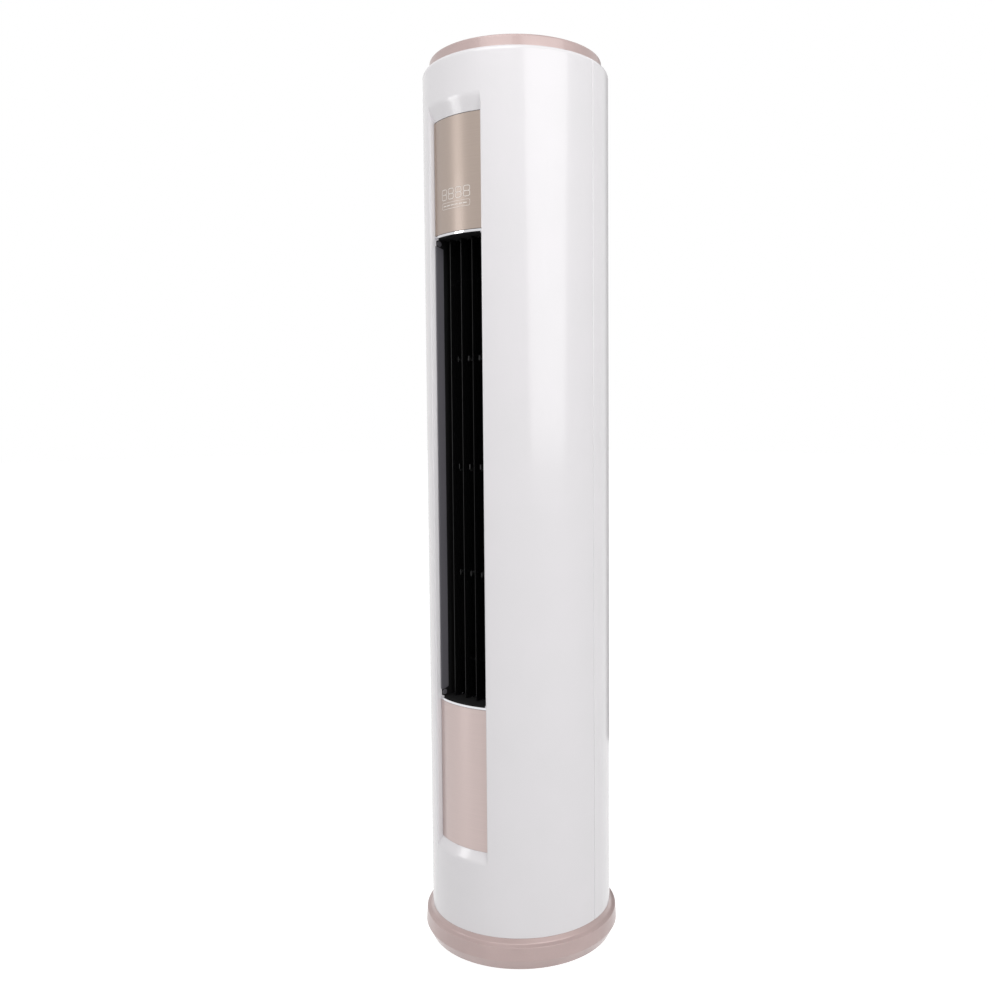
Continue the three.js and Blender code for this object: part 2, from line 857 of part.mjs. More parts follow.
const vaneBottom = outletBottom + vaneEndGap;
const vaneTop = outletTop - vaneEndGap;
const upperSupport = outletTop - upperSupportDrop;
const lowerSupport = outletBottom + lowerSupportRise;
const supportLevels = supportShares.map((share) => upperSupport + (lowerSupport - upperSupport) * share);
const linkLevels = [outletTop - upperLinkDrop, outletBottom + lowerLinkRise];

/** Blunt lens outline of a vane in plan, about its pivot. */
function vaneOutline() {
  const steps = 6;
  return Array.from({ length: steps }, (_, i) => {
    const angle = 2 * Math.PI * i / steps;
    const swell = Math.sign(Math.sin(angle)) * Math.sqrt(Math.abs(Math.sin(angle)));
    return [swell * vaneThickness / 2, -vaneChord / 2 * Math.cos(angle)];
  });
}

/** One vane about its pivot axis, with journals for the supports and crank pins for the links. */
function vane(driven) {
  const wide = vaneChord;
  const lower = post(vanePinRadius, outletBottom - ductPlateWall + fitGap, vaneBottom + 2 * overlap);
  const upper = post(vanePinRadius, vaneTop - 2 * overlap, outletTop + ductPlateWall - fitGap);
  const notch = (level, from) =>
    block([-wide, from, level - notchHeight / 2], [wide, wide, level + notchHeight / 2]);
  const pin = (level, radius, y) =>
    post(radius, level - notchHeight / 2 - overlap, level + notchHeight / 2 + overlap, pinSteps, 0, y);
  const journalNotch = -(journalRadius + runGap + clipWall + journalNotchMargin);
  const crankNotch = crankRadius - (crankPinRadius + runGap + clipWall + crankNotchMargin);
  const blade = cut(slab(vaneOutline(), vaneBottom, vaneTop), [
    ...supportLevels.map((level) => notch(level, journalNotch)),
    ...linkLevels.map((level) => notch(level, crankNotch)),
  ]);
  const body = join([
    blade, lower, upper,
    ...supportLevels.map((level) => pin(level, journalRadius, 0)),
    ...linkLevels.map((level) => pin(level, crankPinRadius, crankRadius)),
  ]);
  const socket = bore(
    swingShaftRadius + fitGap, outletBottom - ductPlateWall, vaneBottom + swingShaftGrip);
  return driven ? body.subtract(socket) : body;
}

/** Points of a snap-in hole round a pin, from one lip of its mouth to the other. */
function clipHole(x, y, pinRadius, toward) {
  const radius = (pinRadius + runGap) / Math.cos(Math.PI / boreSteps);
  const lip = 50;
  return Array.from({ length: 7 }, (_, i) => {
    const angle = (lip + (360 - 2 * lip) * i / 6) * degree;
    return [x + toward * radius * Math.sin(angle), y + toward * radius * Math.cos(angle)];
  });
}

/** Comb across the duct behind the vanes, with an open clip round each vane's journal. */
function vaneSupport(level) {
  const barFront = vaneAxisY + vaneChord / 2 + supportBarGap;
  const half = ductHalf - fitGap;
  const reach = journalRadius + runGap + clipWall;
  const fingers = vaneXs().flatMap((x) => [
    [x - reach, barFront],
    [x - reach, vaneAxisY],
    [x - reach * 0.7, vaneAxisY - reach * 0.7],
    ...clipHole(x, vaneAxisY, journalRadius, -1),
    [x + reach * 0.7, vaneAxisY - reach * 0.7],
    [x + reach, vaneAxisY],
    [x + reach, barFront],
  ]);
  return slab([
    [-half, barFront], ...fingers, [half, barFront],
    [half, barFront + supportBarWidth], [-half, barFront + supportBarWidth],
  ], level - supportThickness / 2, level + supportThickness / 2);
}

/** Flat bar that snaps onto every vane's crank pin, with its clips open to the back. */
function linkBar(level) {
  const y = vaneAxisY + crankRadius;
  const xs = vaneXs();
  const reach = crankPinRadius + runGap + clipWall;
  const clips = [...xs].reverse().flatMap((x) => [
    [x + reach, y + reach * 0.5],
    [x + reach * 0.7, y + reach * 0.7],
    ...clipHole(x, y, crankPinRadius, 1),
    [x - reach * 0.7, y + reach * 0.7],
    [x - reach, y + reach * 0.5],
  ]);
  const end = xs[xs.length - 1] + reach;
  return slab([[-end, y - reach], [end, y - reach], ...clips],
    level - linkThickness / 2, level + linkThickness / 2);
}

const swingMotorTop = outletBottom - ductPlateWall - fitGap;

/** Stepper motor can under the duct floor, with two screw ears. */
function swingMotor() {
  const can = post(swingMotorRadius, swingMotorTop - swingMotorHeight, swingMotorTop, canSteps);
  const reach = swingMotorRadius + swingMotorEarReach;
  const ears = block(
    [-reach, -swingMotorEarWidth / 2, swingMotorTop - swingMotorEarWall],
    [reach, swingMotorEarWidth / 2, swingMotorTop],
  );
  const middle = swingMotorTop - swingMotorHeight / 2;
  return can.add(ears).subtract(bore(swingShaftRadius + runGap, middle, swingMotorTop + overlap));
}

/** Motor shaft that reaches up into the driven vane. */
function swingShaft() {
  const bottom = swingMotorTop - swingMotorHeight / 2 + fitGap;
  return post(swingShaftRadius, bottom, vaneBottom + swingShaftGrip - fitGap);
}

// ---------------------------------------------------------------- cross-flow fan

const fanBottom = outletBottom + fanEndGap;
const fanTop = outletTop - fanEndGap;

/** Curved blade's outline in plan, at the fan's rim about the fan's axis. */
function bladeOutline(turn) {
  const root = fanRadius - bladeDepth;
  const steps = 2;
  const line = (offset) => Array.from({ length: steps + 1 }, (_, i) => {
    const share = i / steps;
    const radius = root + (bladeDepth - overlap) * share;
    const angle = (turn + bladeLean * share * share) * degree + offset / radius;
    return [radius * Math.sin(angle), -radius * Math.cos(angle)];
  });
  return [...line(bladeWall / 2), ...line(-bladeWall / 2).reverse()];
}

/** Fan wheel: curved blades all round, end discs and the rings between its sections. */
function crossFlowFan() {
  const blades = Array.from({ length: fanBlades }, (_, i) =>
    slab(bladeOutline(360 * i / fanBlades), fanBottom + overlap, fanTop - overlap));
  const discs = Array.from({ length: fanSections + 1 }, (_, i) => {
    const level = fanBottom + (fanTop - fanDiscWall - fanBottom) * i / fanSections;
    const isEnd = i === 0 || i === fanSections;
    const disc = post(fanRadius, level, level + fanDiscWall, discSteps);
    const eye = post(fanRadius - bladeDepth, level - overlap, level + fanDiscWall + overlap, discSteps / 2);
    return isEnd ? disc : disc.subtract(eye);
  });
  const hubs = [
    post(fanHubRadius, fanBottom, fanBottom + fanHubHeight, canSteps),
    post(fanHubRadius, fanTop - fanHubHeight, fanTop, canSteps),
  ];
  const sockets = [
    bore(fanShaftRadius + fitGap, fanBottom - overlap, fanBottom + fanSocketDepth),
    bore(fanShaftRadius + fitGap, fanTop - fanSocketDepth, fanTop + overlap),
  ];
  return cut(join([...discs, ...blades, ...hubs]), sockets);
}

const fanMotorTop = lowerDeckTop - deckWall - fitGap;
const driveShaftBottom = fanMotorTop - fanMotorShaftDepth;

/** Shaft from the motor up into the fan's lower hub. */
function driveShaft() {
  return post(fanShaftRadius, driveShaftBottom, fanBottom + fanSocketDepth - fitGap, boreSteps);
}

/** Stub shaft from the fan's upper hub into the bearing. */
function idlerShaft() {
  return post(
    fanShaftRadius, fanTop - fanSocketDepth + fitGap, outletTop + ductPlateWall + idlerReach, boreSteps);
}

/** Motor with its mounting flange against the deck. */
function fanMotor() {
  const bottom = fanMotorTop - fanMotorHeight;
  const can = bottom + fanMotorBossHeight;
  const flangeRadius = fanMotorRadius + fanMotorFlangeReach;
  const body = revolve([
    [0, bottom],
    [fanMotorBossRadius, bottom],
    [fanMotorBossRadius, can],
    [fanMotorRadius - fanMotorBossHeight, can],
    [fanMotorRadius, can + fanMotorBossHeight],
    [fanMotorRadius, fanMotorTop - fanMotorFlangeWall],
    [flangeRadius, fanMotorTop - fanMotorFlangeWall],
    [flangeRadius, fanMotorTop],
    [0, fanMotorTop],
  ], canSteps);
  return body.subtract(bore(fanShaftRadius + runGap, driveShaftBottom - fitGap, fanMotorTop + overlap));
}

/** Plain bush in the duct roof that the idler shaft runs in. */
function fanBearing() {
  const inner = fanShaftRadius + runGap;
  const bottom = outletTop - (bearingHeight - ductPlateWall) / 2;
  const outer = post(inner + bearingWall, bottom, bottom + bearingHeight, boreSteps);
  return outer.subtract(bore(inner, bottom - overlap, bottom + bearingHeight + overlap));
}

// ---------------------------------------------------------------- heat exchanger

const trayBottom = lowerDeckTop + fitGap;
const coilBottom = trayBottom + trayWall + trayRibHeight + fitGap;
const coilTop = upperDeckBottom - fitGap;
const trayTop = trayBottom + trayDepth;
const coilFrom = 180 - coilHalfSweep;
const coilTo = 180 + coilHalfSweep;

/** Finned block, bent to a C round the back of the fan. */
function coilFins() {
  const trim = sweep(tubePlateWall + fitGap, coilInnerRadius);
  return ringSector(
    coilInnerRadius, coilOuterRadius, coilFrom + trim, coilTo - trim, coilBottom, coilTop, innerStep);
}

/** Sheet metal plate that closes an end of the coil, carries its hairpins and meets the duct wall. */
function tubePlate(side) {
  const bearing = side > 0 ? coilFrom : -coilFrom;
  const inner = at(coilInnerRadius - tubePlateMargin, bearing);
  const outer = at(coilOuterRadius + tubePlateMargin, bearing);
  const duct = [side * (ductHalf + ductWall + fitGap), scrollStartY - baffleLead];
  const run = new THREE.Vector2(inner.x - duct[0], inner.y - duct[1]);
  const along = run.normalize().multiplyScalar(tubePlateWall);
  const radial = outer.clone().sub(inner).normalize().multiplyScalar(tubePlateWall);
  const front = new THREE.Vector2(radial.y, -radial.x).multiplyScalar(side);
  const plate = [
    [inner.x, inner.y], [outer.x, outer.y], [outer.x + front.x, outer.y + front.y],
    [inner.x + front.x, inner.y + front.y],
  ];
  const baffle = [
    [duct[0], duct[1]], [inner.x + radial.x, inner.y + radial.y],
    [inner.x + radial.x + along.y * side, inner.y + radial.y - along.x * side],
    [duct[0], duct[1] - tubePlateWall],
  ];
  return slab(plate, coilBottom, coilTop).add(slab(baffle, trayTop + fitGap, coilTop));
}

/** Copper return bends that stand out of the tube plate on one side. */
function hairpins(side) {
  const middle = (coilInnerRadius + coilOuterRadius) / 2;
  const spacing = (coilTop - coilBottom) / hairpinCount;
  const start = -side * tubePlateWall / 2;
  const section = new THREE.Shape(
    corner(0, 0, tubeRadius, 0, 288, 4).map(([x, y]) => new THREE.Vector2(x, y)));
  const bends = Array.from({ length: hairpinCount }, (_, i) => {
    const level = coilBottom + spacing * (i + 0.5);
    const reach = spacing / 4;
    const path = new THREE.CatmullRomCurve3([
      new THREE.Vector3(start, -middle, level - reach),
      new THREE.Vector3(start - side * reach / 2, -middle, level - reach),
      new THREE.Vector3(start - side * reach * 1.5, -middle, level),
      new THREE.Vector3(start - side * reach / 2, -middle, level + reach),
      new THREE.Vector3(start, -middle, level + reach),
    ]);
    const geometry = new THREE.ExtrudeGeometry(section, { steps: 5, extrudePath: path });
    geometry.rotateZ(side * coilFrom * degree);
    return solid(geometry);
  });
  return bends;
}

/** End of the coil: its tube plate with the return bends brazed into it. */
function coilEnd(side) {
  return join([tubePlate(side), ...hairpins(side)]);
}

/** C-shaped tray under the coil, with ribs that hold the coil off its floor. */
function drainTray() {
  const inner = coilInnerRadius - trayMargin;
  const outer = coilOuterRadius + trayMargin;
  const from = coilFrom - sweep(trayEndMargin, coilInnerRadius);
  const to = 360 - from;
  const end = sweep(trayWall, coilInnerRadius);
  const tray = ringSector(inner, outer, from, to, trayBottom, trayTop, innerStep)
    .subtract(ringSector(inner + trayWall, outer - trayWall, from + end, to - end,
      trayBottom + trayWall, trayTop + overlap, innerStep));
  const ribHalf = sweep(trayWall / 2, coilInnerRadius);
  const ribs = Array.from({ length: trayRibCount }, (_, i) => {
    const share = i / (trayRibCount - 1);
    const bearing = coilFrom + trayRibInset + (coilTo - coilFrom - 2 * trayRibInset) * share;
    return ringSector(inner + overlap, outer - overlap, bearing - ribHalf, bearing + ribHalf,
      trayBottom + trayWall / 2, trayBottom + trayWall + trayRibHeight);
  });
  return join([tray, ...ribs]);
}

/** Refrigerant pipe from the lower deck down and back to its nut inside the pipe outlet. */
function refrigerantPipe(x, radius) {
  const level = pipeHoleBottom + pipeHoleHeight / 2;
  const end = shellInner - pipeSetback;
  const path = new THREE.CatmullRomCurve3([
    new THREE.Vector3(x, end, level),
    new THREE.Vector3(x, pipeRiserY + pipeBend, level),
    new THREE.Vector3(x, pipeRiserY + pipeBend / 4, level + pipeBend * 3 / 4),
    new THREE.Vector3(x, pipeRiserY, level + 2 * pipeBend),
    new THREE.Vector3(x, pipeRiserY, lowerDeckTop - deckWall - fitGap),
  ]);
  const section = new THREE.Shape(
    corner(0, 0, radius, 0, 300, 5).map(([px, py]) => new THREE.Vector2(px, py)));
  const pipe = solid(new THREE.ExtrudeGeometry(section, { steps: 12, extrudePath: path }));
  const nut = new THREE.CylinderGeometry(radius + pipeNutWall, radius + pipeNutWall, pipeNutLength, 6);
  nut.translate(x, end - overlap, level);
  return pipe.add(solid(nut));
}

// ---------------------------------------------------------------- chassis

/** Deck plate between the side posts, with turned-down flanges that bolt to them. */
function deckPlate(top, flangeDown) {
  const radius = flangeInner - deckMargin;
  const half = postInnerX - fitGap;
  const outline = [];
  for (let bearing = 0; bearing < 360; bearing += 10) {
    const point = at(radius, bearing);
    outline.push([Math.max(-half, Math.min(half, point.x)), point.y]);
  }
  const plate = slab(outline, top - deckWall, top);
  const flangeFrom = flangeDown ? top - deckFlange : top - deckWall / 2;
  const flangeTo = flangeDown ? top - deckWall / 2 : top + deckFlange - deckWall;
  const width = postWidth / 2 - postWall;
  const flanges = [-1, 1].map((side) => block(
    [Math.min(side * half, side * (half - deckWall)), -width, flangeFrom],
    [Math.max(side * half, side * (half - deckWall)), width, flangeTo],
  ));
  return join([plate, ...flanges]);
}

/** Lower deck: carries the drain tray, the duct floor and, underneath, the fan motor. */
function lowerDeck() {
  const bottom = lowerDeckTop - deckWall;
  const hole = bore(fanShaftRadius + fanShaftMargin, bottom - overlap, lowerDeckTop + overlap, 0, fanAxisY);
  return deckPlate(lowerDeckTop, true).subtract(hole);
}

/** Upper deck: closes the coil and carries the control box. */
function upperDeck() {
  return deckPlate(upperDeckBottom + deckWall, false);
}

/** Folded channel from the pan up to the top plate, open to the inside. */
function sidePost(side) {
  const half = postWidth / 2;
  const channel = [
    [postInnerX, -half], [postOuterX, -half], [postOuterX, half], [postInnerX, half],
    [postInnerX, half - postWall], [postOuterX - postWall, half - postWall],
    [postOuterX - postWall, -half + postWall], [postInnerX, -half + postWall],
  ].map(([x, y]) => [side * x, y]);
  const web = [
    [postInnerX, -half], [postInnerX + postWall, -half],
    [postInnerX + postWall, half], [postInnerX, half],
  ].map(([x, y]) => [side * x, y]);
  const webs = [lowerDeckTop, upperDeckBottom + deckFlange].map((level) =>
    slab(web, level - deckFlange - postWebMargin, level + postWebMargin));
  return join([slab(channel, panFloorTop + fitGap, topPlateBottom - fitGap), ...webs]);
}

/** Plate across the posts' tops. */
function topPlate() {
  const radius = bodyRadius - shoulderRadius - lipWidth - topPlateMargin;
  return revolve([
    [0, topPlateBottom],
    [radius, topPlateBottom],
    [radius, topPlateBottom + topPlateRim],
    [radius - deckWall, topPlateBottom + topPlateRim],
    [radius - deckWall, topPlateBottom + deckWall],
    [0, topPlateBottom + deckWall],
  ], ringSteps / 2);
}

// ---------------------------------------------------------------- rear intake grille and filter

/** Clip-in grille: a curved frame of upright slots in rows. */
function intakeGrille() {
  const half = grilleHalfBearing - sweep(fitGap, bodyRadius);
  const inner = bodyRadius - grilleWall;
  const low = grilleBottom + fitGap;
  const high = grilleTop - fitGap;
  const slotSpan = 2 * (half - sweep(grilleBorder, bodyRadius)) / grilleColumns;
  const barHalf = sweep(grilleBarWidth / 2, bodyRadius);
  const rowHeight = (high - low - 2 * grilleBorder + grilleRowBar) / grilleRows;
  const slots = [];
  for (let row = 0; row < grilleRows; row += 1) {
    const bottom = low + grilleBorder + row * rowHeight;
    for (let column = 0; column < grilleColumns; column += 1) {
      const middle = 180 + (column - (grilleColumns - 1) / 2) * slotSpan;
      const reach = slotSpan / 2 - barHalf;
      slots.push(prism([
        at(inner - overlap, middle - reach), at(inner - overlap, middle + reach),
        at(bodyRadius + overlap, middle + reach), at(bodyRadius + overlap, middle - reach),
      ].reverse(), bottom, bottom + rowHeight - grilleRowBar));
    }
  }
  const panel = prism([
    ...arc(bodyRadius, 180 - half, 180 + half, slotSpan),
    ...arc(inner, 180 + half, 180 - half, slotSpan),
  ], low, high);
  return cut(panel, slots);
}

/** Washable filter: a curved frame with cross bars and a fine net, clipped inside the grille. */
function filterFrame() {
  const outer = bodyRadius - grilleWall - fitGap;
  const inner = outer - filterWall;
  const half = grilleHalfBearing - sweep(seatLedge + filterInset, outer);
  const low = grilleBottom + seatLedge + filterInset;
  const high = grilleTop - seatLedge - filterInset;
  const side = sweep(filterFrameWidth, outer);
  const panel = ringSector(inner, outer, 180 - half, 180 + half, low, high, innerStep);
  const pitch = (high - low - filterFrameWidth) / filterRows;
  const openings = Array.from({ length: filterRows }, (_, i) => ringSector(
    inner - overlap, outer + overlap, 180 - half + side, 180 + half - side,
    low + filterFrameWidth + i * pitch, low + (i + 1) * pitch, innerStep));
  return cut(panel, openings);
}

/** Fine net stretched over the inner face of the filter frame. */
function filterNet() {
  const outer = bodyRadius - grilleWall - fitGap - filterWall - fitGap;
  const half = grilleHalfBearing - sweep(seatLedge + filterInset + filterFrameWidth / 2, bodyRadius);
  const margin = seatLedge + filterInset + filterFrameWidth / 2;
  return ringSector(
    outer - netWall, outer, 180 - half, 180 + half, grilleBottom + margin, grilleTop - margin, innerStep);
}

// ---------------------------------------------------------------- electrics

const controlBoxFront = boardY + boardWall + controlBoxGap;

/** Sheet metal box behind the display, on the upper deck. */
function controlBox() {
  const bottom = upperDeckBottom + deckWall + fitGap;
  const outer = block(
    [-controlBoxWidth / 2, controlBoxFront, bottom],
    [controlBoxWidth / 2, controlBoxFront + controlBoxDepth, bottom + controlBoxHeight],
  );
  const hollow = block(
    [-controlBoxWidth / 2 + deckWall, controlBoxFront - overlap, bottom + deckWall],
    [controlBoxWidth / 2 - deckWall, controlBoxFront + controlBoxDepth - deckWall,
      bottom + controlBoxHeight - deckWall],
  );
  return outer.subtract(hollow);
}

/** Lid that closes the control box, with turned edges inside it. */
function controlCover() {
  const bottom = upperDeckBottom + deckWall + fitGap;
  return block(
    [-controlBoxWidth / 2, controlBoxFront - fitGap - deckWall, bottom],
    [controlBoxWidth / 2, controlBoxFront - fitGap, bottom + controlBoxHeight],
  );
}

/** Main board inside the control box: capacitors, a transformer and its stands. */
function controlBoard() {
  const bottom = upperDeckBottom + 2 * (deckWall + fitGap);
  const back = controlBoxFront + controlBoxDepth - deckWall - fitGap;
  const half = controlBoxWidth / 2 - deckWall - fitGap;
  const rear = back - controlBoardStandoff;
  const face = rear - boardWall;
  const board = block([-half, face, bottom], [half, rear, bottom + controlBoardHeight]);
  const capacitors = Array.from({ length: capacitorCount }, (_, i) => {
    const geometry = new THREE.CylinderGeometry(
      capacitorRadius, capacitorRadius, capacitorHeight + boardWall / 2, boreSteps);
    const x = half * (2 * (i + 0.5) / capacitorCount - 1);
    geometry.translate(x, face - capacitorHeight / 2 + boardWall / 4, bottom + controlBoardHeight / 4);
    return solid(geometry);
  });
  const rise = bottom + controlBoardHeight / 2;
  const transformer = block(
    [-transformerWidth / 2, face - transformerDepth, rise],
    [transformerWidth / 2, face + boardWall / 2, rise + transformerHeight],
  );
  const stands = [-1, 1].map((side) => {
    const x = side * (half - 2 * standWidth);
    return block(
      [x - standWidth / 2, rear - boardWall / 2, bottom], [x + standWidth / 2, back, bottom + standWidth]);
  });
  return join([board, ...capacitors, transformer, ...stands]);
}

/** Terminal block on the pan: a foot, a tower and the strip on it. */
function terminalBlock() {
  const bottom = panFloorTop + fitGap;
  const top = bottom + terminalTowerHeight;
  const towerFace = terminalX + terminalTowerWall / 2;
  return join([
    block(
      [terminalX - terminalFootWidth / 2, -terminalFootWidth / 2, bottom],
      [terminalX + terminalFootWidth / 2, terminalFootWidth / 2, bottom + terminalFootWall],
    ),
    block(
      [towerFace - terminalTowerWall, -terminalTowerWidth / 2, bottom],
      [towerFace, terminalTowerWidth / 2, top],
    ),
    block(
      [towerFace - overlap, -terminalStripWidth / 2, top - terminalFootWall - terminalStripHeight],
      [towerFace + terminalStripDepth, terminalStripWidth / 2, top - terminalFootWall],
    ),
  ]);
}

// ---------------------------------------------------------------- back fittings

/** Rubber edge round the pipe outlet, cut to the casing's curve. */
function pipeGrommet() {
  const half = pipeHoleWidth / 2 - fitGap;
  const low = pipeHoleBottom + fitGap;
  const high = pipeHoleBottom + pipeHoleHeight - fitGap;
  const inner = shellInner - grommetDepth;
  const body = block([-half, inner, low], [half, bodyRadius, high]);
  const hole = block(
    [-half + grommetWall, inner - overlap, low + grommetWall],
    [half - grommetWall, bodyRadius + overlap, high - grommetWall],
  );
  const curve = ringSector(
    inner - 2 * grommetDepth, bodyRadius - fitGap, 90, 270, low - overlap, high + overlap);
  return body.subtract(hole).intersect(curve);
}

/** Steel strap on the rear shell that is screwed to the wall behind, so that the cabinet can't tip. */
function wallBracket() {
  const top = shellTop - bracketDrop;
  const bottom = top - bracketHeight;
  const reach = bodyRadius + skirtRidgeReach;
  const half = bracketWidth / 2;
  const outerX = bracketLegInset;
  const innerX = bracketLegInset - bracketLegWidth;
  const onShell = (x) => Math.sqrt(bodyRadius ** 2 - x ** 2) + fitGap;
  const strap = block([-half, reach - bracketWall, bottom], [half, reach, top]);
  const legs = [-1, 1].map((side) => slab([
    [side * innerX, onShell(innerX)], [side * outerX, onShell(outerX)],
    [side * outerX, reach - bracketWall / 2], [side * innerX, reach - bracketWall / 2],
  ], bottom, top));
  const slots = [-1, 1].map((side) => {
    const geometry = new THREE.CylinderGeometry(
      bracketSlotRadius, bracketSlotRadius, 4 * bracketWall, boreSteps);
    geometry.translate(side * bracketSlotSpread, reach, (bottom + top) / 2);
    return solid(geometry);
  });
  return cut(join([strap, ...legs]), slots);
}

// ---------------------------------------------------------------- assembly

place('base_skirt', baseSkirt(), 'roseGold');
place('base_pan', basePan(), 'steel');
addPads();

place('front_shell', frontShell(), 'glossWhite');
place('rear_shell', rearShell(), 'glossWhite');
place('service_cover', serviceCover(), 'glossWhite');
place('top_ring', topRing(), 'roseGold');
place('top_cover', topCover(), 'glossWhite');

place('display_panel', displayPanel(), 'champagne');
place('display_board', displayBoard(), 'board');
place('upper_trim', trimStrip(outletTop, displayBottom - fitGap / 2), 'chrome');
place('lower_trim', trimStrip(lowerTrimBottom + fitGap / 2, outletBottom), 'chrome');
place('lower_panel', curvedPanel(lowerPanelBottom + fitGap, lowerTrimBottom), 'roseBrushed');

place('duct_floor', ductFloor(), 'blackMatte');
place('duct_roof', ductRoof(), 'blackMatte');
place('scroll_wall', scrollWall(), 'blackMatte');
place('tongue_wall', tongueWall(), 'blackMatte');
place('side_liner_left', sideLiner(-1), 'greyPlastic');
place('side_liner_right', sideLiner(1), 'greyPlastic');
supportLevels.forEach((level, i) => place(`vane_support_${i + 1}`, vaneSupport(level), 'blackMatte'));

const vanes = new THREE.Group();
vanes.position.set(0, vaneAxisY, 0);
cabinet.add(vanes);
vaneXs().forEach((x, i) => {
  const mesh = place(`vane_${i + 1}`, vane(i === 0), 'blackGloss', vanes);
  mesh.position.x = x;
});
place('swing_motor', swingMotor(), 'blackMatte', vanes).position.x = vaneXs()[0];
place('swing_shaft', swingShaft(), 'steel', vanes).position.x = vaneXs()[0];
place('upper_link_bar', linkBar(linkLevels[0]), 'blackMatte');
place('lower_link_bar', linkBar(linkLevels[1]), 'blackMatte');

const fan = new THREE.Group();
fan.position.set(0, fanAxisY, 0);
cabinet.add(fan);
place('cross_flow_fan', crossFlowFan(), 'blackMatte', fan);
place('drive_shaft', driveShaft(), 'steel', fan);
place('idler_shaft', idlerShaft(), 'steel', fan);
place('fan_motor', fanMotor(), 'steel', fan);
place('fan_bearing', fanBearing(), 'blackMatte', fan);

place('coil_fins', coilFins(), 'aluminium');
place('coil_end_left', coilEnd(-1), 'copper');
place('coil_end_right', coilEnd(1), 'copper');
place('drain_tray', drainTray(), 'blackMatte');
place('gas_pipe', refrigerantPipe(pipeSpread, gasPipeRadius), 'copper');
place('liquid_pipe', refrigerantPipe(-pipeSpread, liquidPipeRadius), 'copper');

place('lower_deck', lowerDeck(), 'steel');
place('upper_deck', upperDeck(), 'steel');
place('side_post_left', sidePost(-1), 'steel');
place('side_post_right', sidePost(1), 'steel');
place('top_plate', topPlate(), 'steel');

place('intake_grille', intakeGrille(), 'glossWhite');
place('filter_frame', filterFrame(), 'greyPlastic');
place('filter_net', filterNet(), 'net');

place('control_box', controlBox(), 'steel');
place('control_cover', controlCover(), 'steel');
place('control_board', controlBoard(), 'board');
place('terminal_block', terminalBlock(), 'blackMatte');

place('pipe_grommet', pipeGrommet(), 'rubber');
place('wall_bracket', wallBracket(), 'steel');

export default cabinet;
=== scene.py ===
"""Floor standing air conditioner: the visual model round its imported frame, with camera and studio.

Metres in the frame's own axes: +Z up, -Y out of the front. A bearing is an angle about the
cabinet's axis in degrees: 0 is the front and 90 the right-hand side (+X). Sizes of the object
are in millimetres and those of the studio in metres.
"""

import json
import logging
import math
from dataclasses import dataclass
from enum import Enum
from typing import Callable, Iterable, Sequence

import bmesh
import bpy
from mathutils import Matrix, Vector

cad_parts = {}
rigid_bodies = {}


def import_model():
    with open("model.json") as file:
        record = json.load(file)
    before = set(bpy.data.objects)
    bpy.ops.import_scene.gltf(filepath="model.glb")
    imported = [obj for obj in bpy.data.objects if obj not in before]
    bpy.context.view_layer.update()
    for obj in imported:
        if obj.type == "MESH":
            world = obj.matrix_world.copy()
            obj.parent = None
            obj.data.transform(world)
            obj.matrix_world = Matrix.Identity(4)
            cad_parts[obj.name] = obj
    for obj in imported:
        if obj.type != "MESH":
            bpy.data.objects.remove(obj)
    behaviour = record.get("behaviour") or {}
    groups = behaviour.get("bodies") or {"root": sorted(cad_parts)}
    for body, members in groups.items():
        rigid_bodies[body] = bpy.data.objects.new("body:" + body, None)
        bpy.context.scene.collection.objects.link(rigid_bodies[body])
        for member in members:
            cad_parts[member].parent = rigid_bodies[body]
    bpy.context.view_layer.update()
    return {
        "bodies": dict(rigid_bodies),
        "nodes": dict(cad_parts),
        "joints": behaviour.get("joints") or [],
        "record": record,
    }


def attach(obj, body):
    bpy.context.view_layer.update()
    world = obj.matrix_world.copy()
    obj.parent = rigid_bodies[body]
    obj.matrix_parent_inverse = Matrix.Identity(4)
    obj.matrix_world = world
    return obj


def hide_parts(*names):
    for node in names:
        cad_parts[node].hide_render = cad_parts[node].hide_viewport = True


LOG = logging.getLogger("air_conditioner")
MM = 0.001
HAIR = 1e-4  # millimetres that part two points which would merge otherwise
SHARP = 32  # degrees past which an edge stays sharp
EASE_SHARES = (0.04, 0.15, 0.35, 0.65, 1)  # where the columns stand on a wall's eased edge

Piece = bpy.types.Object
Tree = bpy.types.NodeTree
Socket = bpy.types.NodeSocket
Mesh = bmesh.types.BMesh
Outputs = bpy.types.bpy_prop_collection
Point = tuple[float, float]
Span = tuple[float, float]
Corners = Sequence[tuple[float, float, float]]


class Body(Enum):
    """Rigid bodies of the frame that new pieces ride on."""

    CASING = "casing"
    VANE_1 = "driven_vane"
    VANE_2 = "second_vane"
    VANE_3 = "third_vane"
    VANE_4 = "fourth_vane"
    FAN = "fan_rotor"
    INTAKE = "intake_cover"


class Slot(Enum):
    """Material slots of the record."""

    WHITE = "gloss_white"
    ROSE = "rose_gold"
    CHAMPAGNE = "champagne"
    BRUSHED = "rose_brushed"
    CHROME = "chrome"
    BLACK_GLOSS = "black_gloss"
    BLACK = "black_matte"
    GREY = "grey_plastic"
    STEEL = "sheet_steel"
    FINS = "fin_aluminium"
    COPPER = "copper"
    RUBBER = "rubber"
    BOARD = "circuit_board"
    NET = "filter_net"


# ---- materials


def linear(code: str) -> tuple[float, float, float, float]:
    """Turns an sRGB hex colour into a linear one.

    Args:
        code: Six hex digits after a hash sign.

    Returns:
        Linear red, green, blue and an alpha of 1.
    """
    parts = [int(code[i:i + 2], 16) / 255 for i in (1, 3, 5)]
    red, green, blue = [c / 12.92 if c <= 0.04045 else ((c + 0.055) / 1.055) ** 2.4 for c in parts]
    return red, green, blue, 1.0


